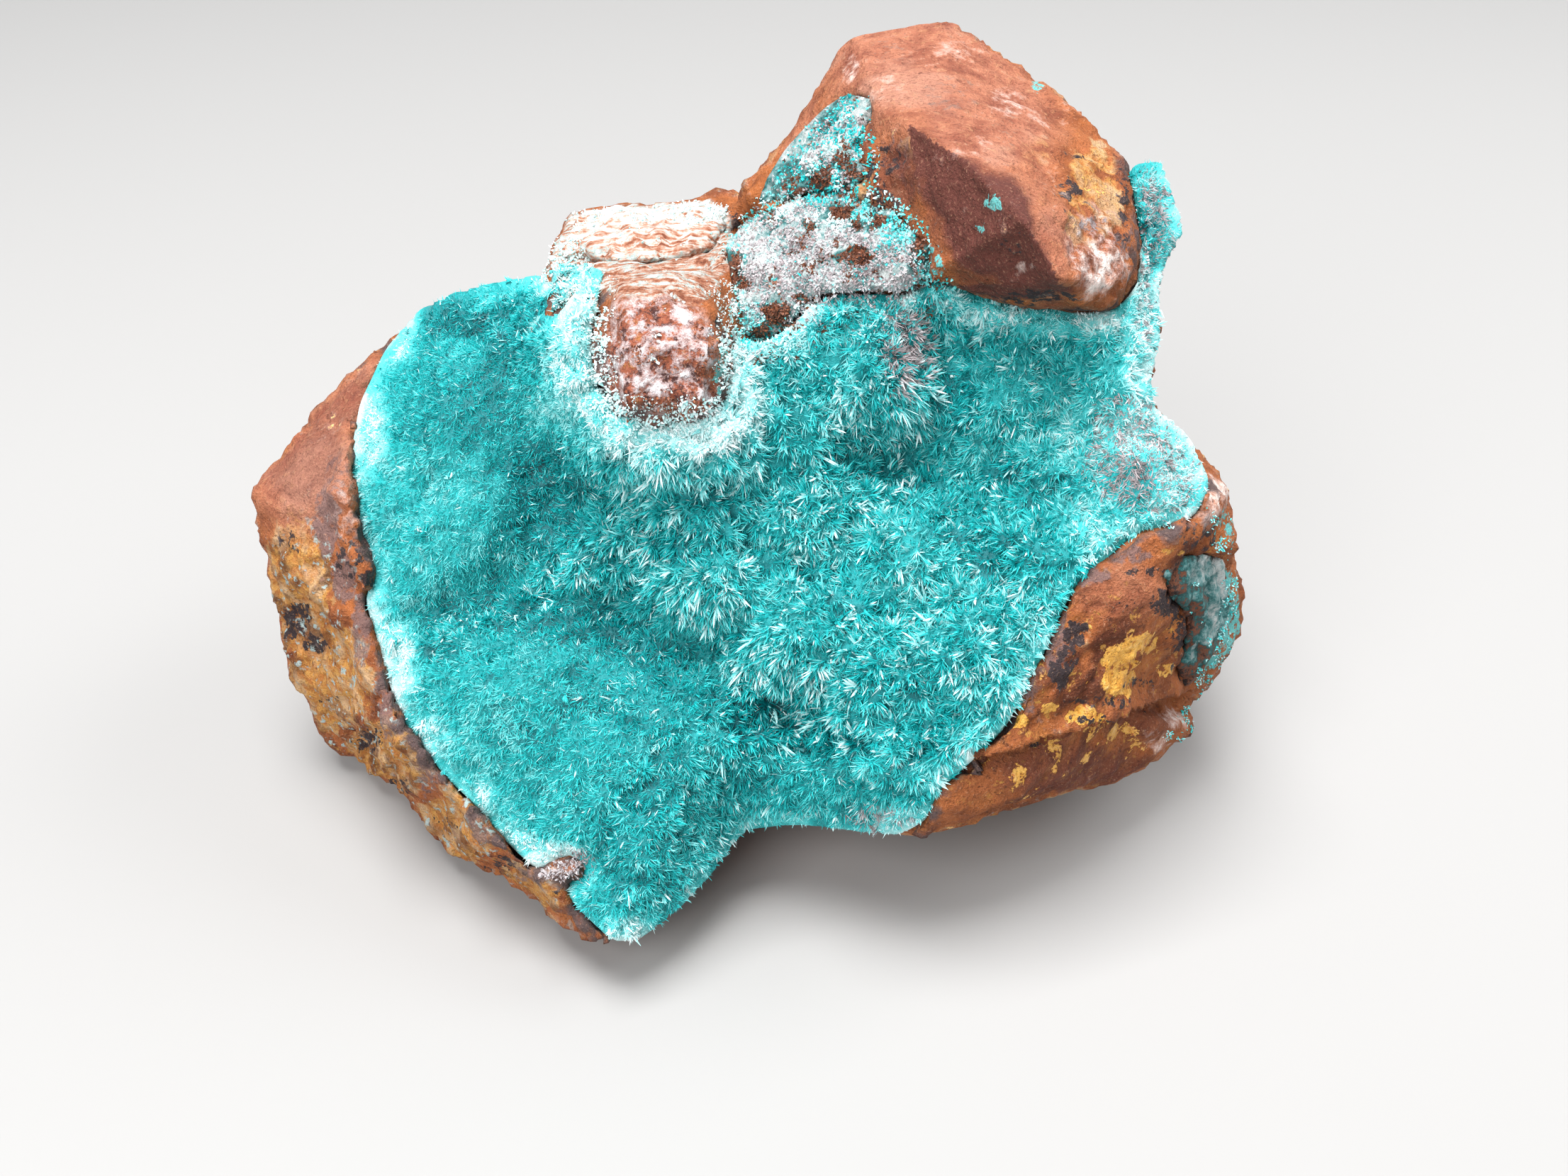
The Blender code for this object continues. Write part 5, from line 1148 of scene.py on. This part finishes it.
def fans(crust):
    """Fans of flat blades with a straight body, largest in the glinting clusters."""

    def density(across, up):
        open_share = (1.0 - 0.86 * fineness(across, up)) * (1.0 - 0.6 * pale_share(across, up))
        return (0.55 + zone_share(PAINTED_GLINT_ZONES, across, up)) * open_share

    at = scatter(crust, density, FANS, 29)
    random = at.random
    droop = np.array((0.0, -math.sin(SIGHT_DOWN), -math.cos(SIGHT_DOWN)))
    axis = unit(at.lean * 0.6 + at.spray * 0.6 + droop * 0.35
                + random.normal(size=at.spot.shape) * 0.42)
    wide, thin = side_axes(axis, random)
    reach = (BLADE_LENGTH - 0.3 * at.fine) * (0.65 + 0.7 * random.rand(FANS)) * (1.0 + 0.3 * at.glint)
    reach *= at.short
    tone = at.shade + 0.035 * random.normal(size=FANS)
    # Painted highlights: lit fans reach further, and most of their blades are painted white as glints
    lit = random.rand(FANS) < 0.05 + 0.12 * at.glint
    reach = np.where(lit, reach * 1.25, reach)
    dull = at.dull > random.rand(FANS)

    count = FANS * FAN_BLADES
    owner = np.repeat(np.arange(FANS), FAN_BLADES)
    turn = FAN_SPREAD * (random.rand(count) * 2.0 - 1.0)
    lift = FAN_LIFT * random.normal(size=count)
    aims = unit(axis[owner] * np.cos(turn)[:, None] + wide[owner] * np.sin(turn)[:, None]
                + thin[owner] * np.sin(lift)[:, None])
    lengths = reach[owner] * (1.0 - 0.35 * np.abs(turn)) * (0.65 + 0.5 * random.rand(count))
    widths = (BLADE_WIDTH - 0.06 * at.fine[owner]) * (0.6 + 0.8 * random.rand(count))
    flatness = 0.16 + 0.22 * random.rand(count)
    shade = tone[owner] + 0.05 * random.normal(size=count)
    # The white blades of the lit fans are painted highlights
    white = lit[owner] & (random.rand(count) < 0.75)
    shade = np.where(white, 0.33 + 0.16 * random.rand(count), shade)
    lone = random.rand(count) < 0.04
    shade = np.where(lone, 0.38 + 0.11 * random.rand(count), shade)
    shade = np.clip(shade, 0.02, 0.49)
    shade = np.where(dull[owner], GREY_FROM + GREY_SPREAD * random.rand(count), shade)
    roots = at.spot[owner] - aims * BLADE_SINK + random.normal(size=(count, 3)) * 0.06
    facing = unit(wide[owner] + 0.5 * random.normal(size=(count, 3)))
    whole = white | lone
    number = 0
    for rows, limit, collar, breadth in ((np.nonzero(whole)[0], LIT_PIECE, 0.7, 0.85),
                                         (np.nonzero(~whole)[0], BLADE_PIECE, 0.0, 1.25)):
        for start in range(0, len(rows), limit):
            now = rows[start:start + limit]
            number += 1
            spikes("blades_%d" % number, roots[now], aims[now], lengths[now],
                   widths[now] * breadth, flatness[now], shade[now], collar, random, facing[now])


# The druse and the pale crusts

def cavity(places):
    """Lumps and hollows of the field: below zero in a hollow."""
    return 0.42 - np.abs(layered_noise(places, 1.5, 55, 3)) * 2.2


def patch_ground(node, name, material, seed, size, depth, tone_of):
    """Lumpy ground of a patch, with its tone."""
    piece = regrown(node, name, PATCH_VOXEL, 3)
    mesh = piece.data
    places = get_places(mesh)
    normals = get_normals(mesh)
    across, up, _ = in_view(places)
    front = smooth_step(facing_eye(places, normals), -0.05, 0.3)
    lumps = cavity(places) + 0.4 * layered_noise(places, size, seed, 2)
    lift = front * (depth * np.clip(lumps, -0.9, 0.5) - 0.05) + (1.0 - front) * 0.2
    set_places(mesh, places + normals * lift[:, None])
    add_share(mesh, "shade", tone_of(places, across, up))
    mesh.materials.append(material)
    settle(piece, node)
    return piece


def tree_of(pieces):
    """Surface of some settled pieces, in mm."""
    places = []
    faces = []
    for piece in pieces:
        start = len(places)
        places.extend((vertex.co / MM).to_tuple() for vertex in piece.data.vertices)
        faces.extend([start + index for index in face.vertices] for face in piece.data.polygons)
    return BVHTree.FromPolygons(places, faces)


def seen_spots(surface, count, edge, seed):
    """Random places inside an edge of the front view, on the surface that is seen there."""
    random = np.random.RandomState(seed)
    edge = np.array(edge)
    low = edge.min(axis=0)
    high = edge.max(axis=0)
    eye = Vector(EYE)
    spots = []
    leans = []
    while len(spots) < count:
        across, up = (low + random.rand(2) * (high - low)).tolist()
        if not within(np.array([across]), np.array([up]), edge)[0]:
            continue
        aim = (Vector(seen(across, up, 0.0)) - eye).normalized()
        hit, lean, _, _ = surface.ray_cast(eye, aim)
        if hit is None:
            continue
        spots.append(hit.to_tuple())
        leans.append((lean if lean.dot(aim) < 0.0 else -lean).to_tuple())
    return np.array(spots), np.array(leans), random


def grains(name, spot, aims, lengths, widths, flatness, shade, kept, random):
    """Stubby crystals at the kept spots, sunk a little."""
    spikes(name, (spot - aims * GRAIN_SINK)[kept], aims[kept], lengths[kept], widths[kept],
           flatness, shade[kept], 0.5, random)


def field_shade(places, across, up, random):
    """Tones of the field: grey-white middle, aqua edges and brown spots."""
    count = len(places)
    drift = layered_noise(places, 1.6, 61, 3)
    fine = layered_noise(places, 0.7, 67, 3)
    jitter = random.rand(count)
    spread = random.normal(size=count)
    # Hollows turn to rusty brown and darker aqua, lump tops to white and paler grey: the darker aqua
    # is in part painted shade, the paler tops in part painted light
    depth = np.clip(cavity(places), -0.8, 0.42)
    flank = zone_share(FLANK, across, up)
    grey = 0.28 + zone_share(GREY_SPOTS, across, up) + 0.7 * drift + 0.3 * spread + 0.5 * fine
    grey = grey + 0.22 * flank
    brown = zone_share(BROWN_SPOTS, across, up) + 1.0 * fine - 0.75 * depth + 0.14 * spread
    aqua = 0.27 + 0.13 * drift + 0.15 * jitter + 0.08 * depth - 0.13 * flank
    shade = np.where(grey > 0.55, 0.76 + 0.24 * jitter * (1.0 + depth), np.clip(aqua, 0.12, 0.44))
    white = drift + 0.6 * depth + 0.22 * spread > 0.5
    shade = np.where(white, 0.43 + 0.05 * jitter, shade)
    return np.where(brown > 0.66, 0.56 + 0.08 * jitter, np.clip(shade, 0.0, 1.0))


def field_crystals(surface):
    """Small crystals over the field between the crust and the flank of the peak."""
    spot, lean, random = seen_spots(surface, FIELD_COUNT, FIELD_EDGE, 37)
    count = len(spot)
    across, up, _ = in_view(spot)
    shade = field_shade(spot, across, up, random)
    thin_edge = edge_gap(across, up, FIELD_EDGE) / 1.2
    kept = (thin_edge > random.rand(count)) & (layered_noise(spot, 1.1, 73, 2) > -0.45)
    aims = unit(lean + random.normal(size=spot.shape) * 0.5)
    lengths = 0.10 + 0.24 * random.rand(count) ** 1.5
    widths = 0.10 + 0.16 * random.rand(count) ** 1.5
    grains("druse_crystals", spot, aims, lengths, widths, 0.85, shade, kept, random)


def crumbs(surface, name, slot, count, seed, tones, size, zones):
    """Powdery crumbs on the seen surface inside some oval zones."""
    rows = np.array(zones)
    low = (rows[:, :2] - rows[:, 2:4] * 1.2).min(axis=0)
    high = (rows[:, :2] + rows[:, 2:4] * 1.2).max(axis=0)
    edge = [(low[0], low[1]), (high[0], low[1]), (high[0], high[1]), (low[0], high[1])]
    spot, lean, random = seen_spots(surface, count, edge, seed)
    across, up, _ = in_view(spot)
    clump = layered_noise(spot, 0.8, seed, 2)
    kept = zone_share(zones, across, up) + 0.9 * clump > 0.55 + 0.3 * random.rand(count)
    aims = unit(lean + random.normal(size=spot.shape) * 0.6)
    lengths = size * (0.6 + 0.9 * random.rand(count))
    widths = size * (0.5 + 0.5 * random.rand(count))
    shade = tones[0] + (tones[1] - tones[0]) * random.rand(count)
    grains(name, spot, aims, lengths, widths, 0.8, shade, kept, random)


def druse_tone(places, across, up):
    """Grey and pale aqua lumps, dark where brown spots lie."""
    brown = zone_share(BROWN_SPOTS, across, up)
    return np.clip(0.84 + 0.45 * layered_noise(places, 1.1, 161, 3) - 0.7 * brown, 0.0, 1.0)


def flank_tone(places, across, up):
    """Aqua lumps, with dark and rusty breaks toward the druse."""
    low = np.clip((24.6 - up) / 3.0, 0.0, 1.0)
    return np.clip(0.72 + 0.5 * layered_noise(places, 1.3, 151, 3) - 0.22 * low, 0.0, 1.0)


def slab_tone(places, across, up):
    """Rust and dark streaks that give way to ragged aqua at the outer edge."""
    falling = stretched(places, (0.35, -0.45, -0.82), 3.5)
    streak = layered_noise(falling, 0.9, 171, 3)
    grain = layered_noise(places, 0.6, 177, 3)
    outer = 0.16 * (across - 23.9) + 0.16 * (up > 0.2)
    return np.clip(0.50 + outer + 0.6 * streak + 0.3 * grain, 0.0, 1.0)


# Studio

def studio():
    bpy.ops.mesh.primitive_plane_add(size=3.0)
    floor = bpy.context.object
    floor.name = "floor"
    material, _, shader = new_material("floor_paint")
    dress(shader, (0.34, 0.335, 0.33), 0.9)
    floor.data.materials.append(material)
    world = bpy.data.worlds.new("studio")
    bpy.context.scene.world = world
    world.use_nodes = True
    background = world.node_tree.nodes["Background"]
    background.inputs["Color"].default_value = (0.93, 0.96, 1.0, 1.0)
    background.inputs["Strength"].default_value = 0.38
    for name, place, size, power in (
        ("key", (-0.05, -0.02, 0.46), 0.24, 3.6),
        ("fill", (-0.16, -0.30, 0.26), 0.25, 1.5),
        ("side", (0.26, 0.06, 0.26), 0.22, 0.8),
    ):
        lamp = bpy.data.lights.new(name, "AREA")
        lamp.size = size
        lamp.energy = power
        holder = add_object(name, lamp)
        holder.location = place
        aim = Vector((0.0, 0.0, 0.02)) - Vector(place)
        holder.rotation_euler = aim.to_track_quat("-Z", "Y").to_euler()
    bpy.context.scene.view_settings.view_transform = "Standard"


def camera():
    data = bpy.data.cameras.new("camera")
    data.sensor_width = SENSOR_MM
    data.lens = LENS_MM
    data.clip_start = 0.005
    holder = add_object("camera", data)
    holder.location = Vector(EYE * MM)
    holder.rotation_euler = (math.pi / 2.0 - SIGHT_DOWN, 0.0, 0.0)
    bpy.context.scene.camera = holder


needle_material()
worn = worn_material()
banded = banded_material()
matrix = stone()
crust = crust_ground()
fuzz(crust)
fans(crust)
settle(crust.piece, "aurichalcite_crust")
patches = [
    patch_ground("grey_druse", "druse_ground", worn, 51, 1.1, 0.3, druse_tone),
    patch_ground("flank_crust", "flank_lumps", worn, 101, 1.3, 0.4, flank_tone),
    patch_ground("shelf_crust", "shelf_lumps", banded, 131, 1.3, 0.35, band_tone),
    patch_ground("slab_crust", "slab_lumps", worn, 151, 1.2, 0.5, slab_tone),
]
surface = tree_of([matrix, crust.piece] + patches)
field_crystals(surface)
for row in CRUMBS:
    crumbs(surface, *row)
studio()
camera()
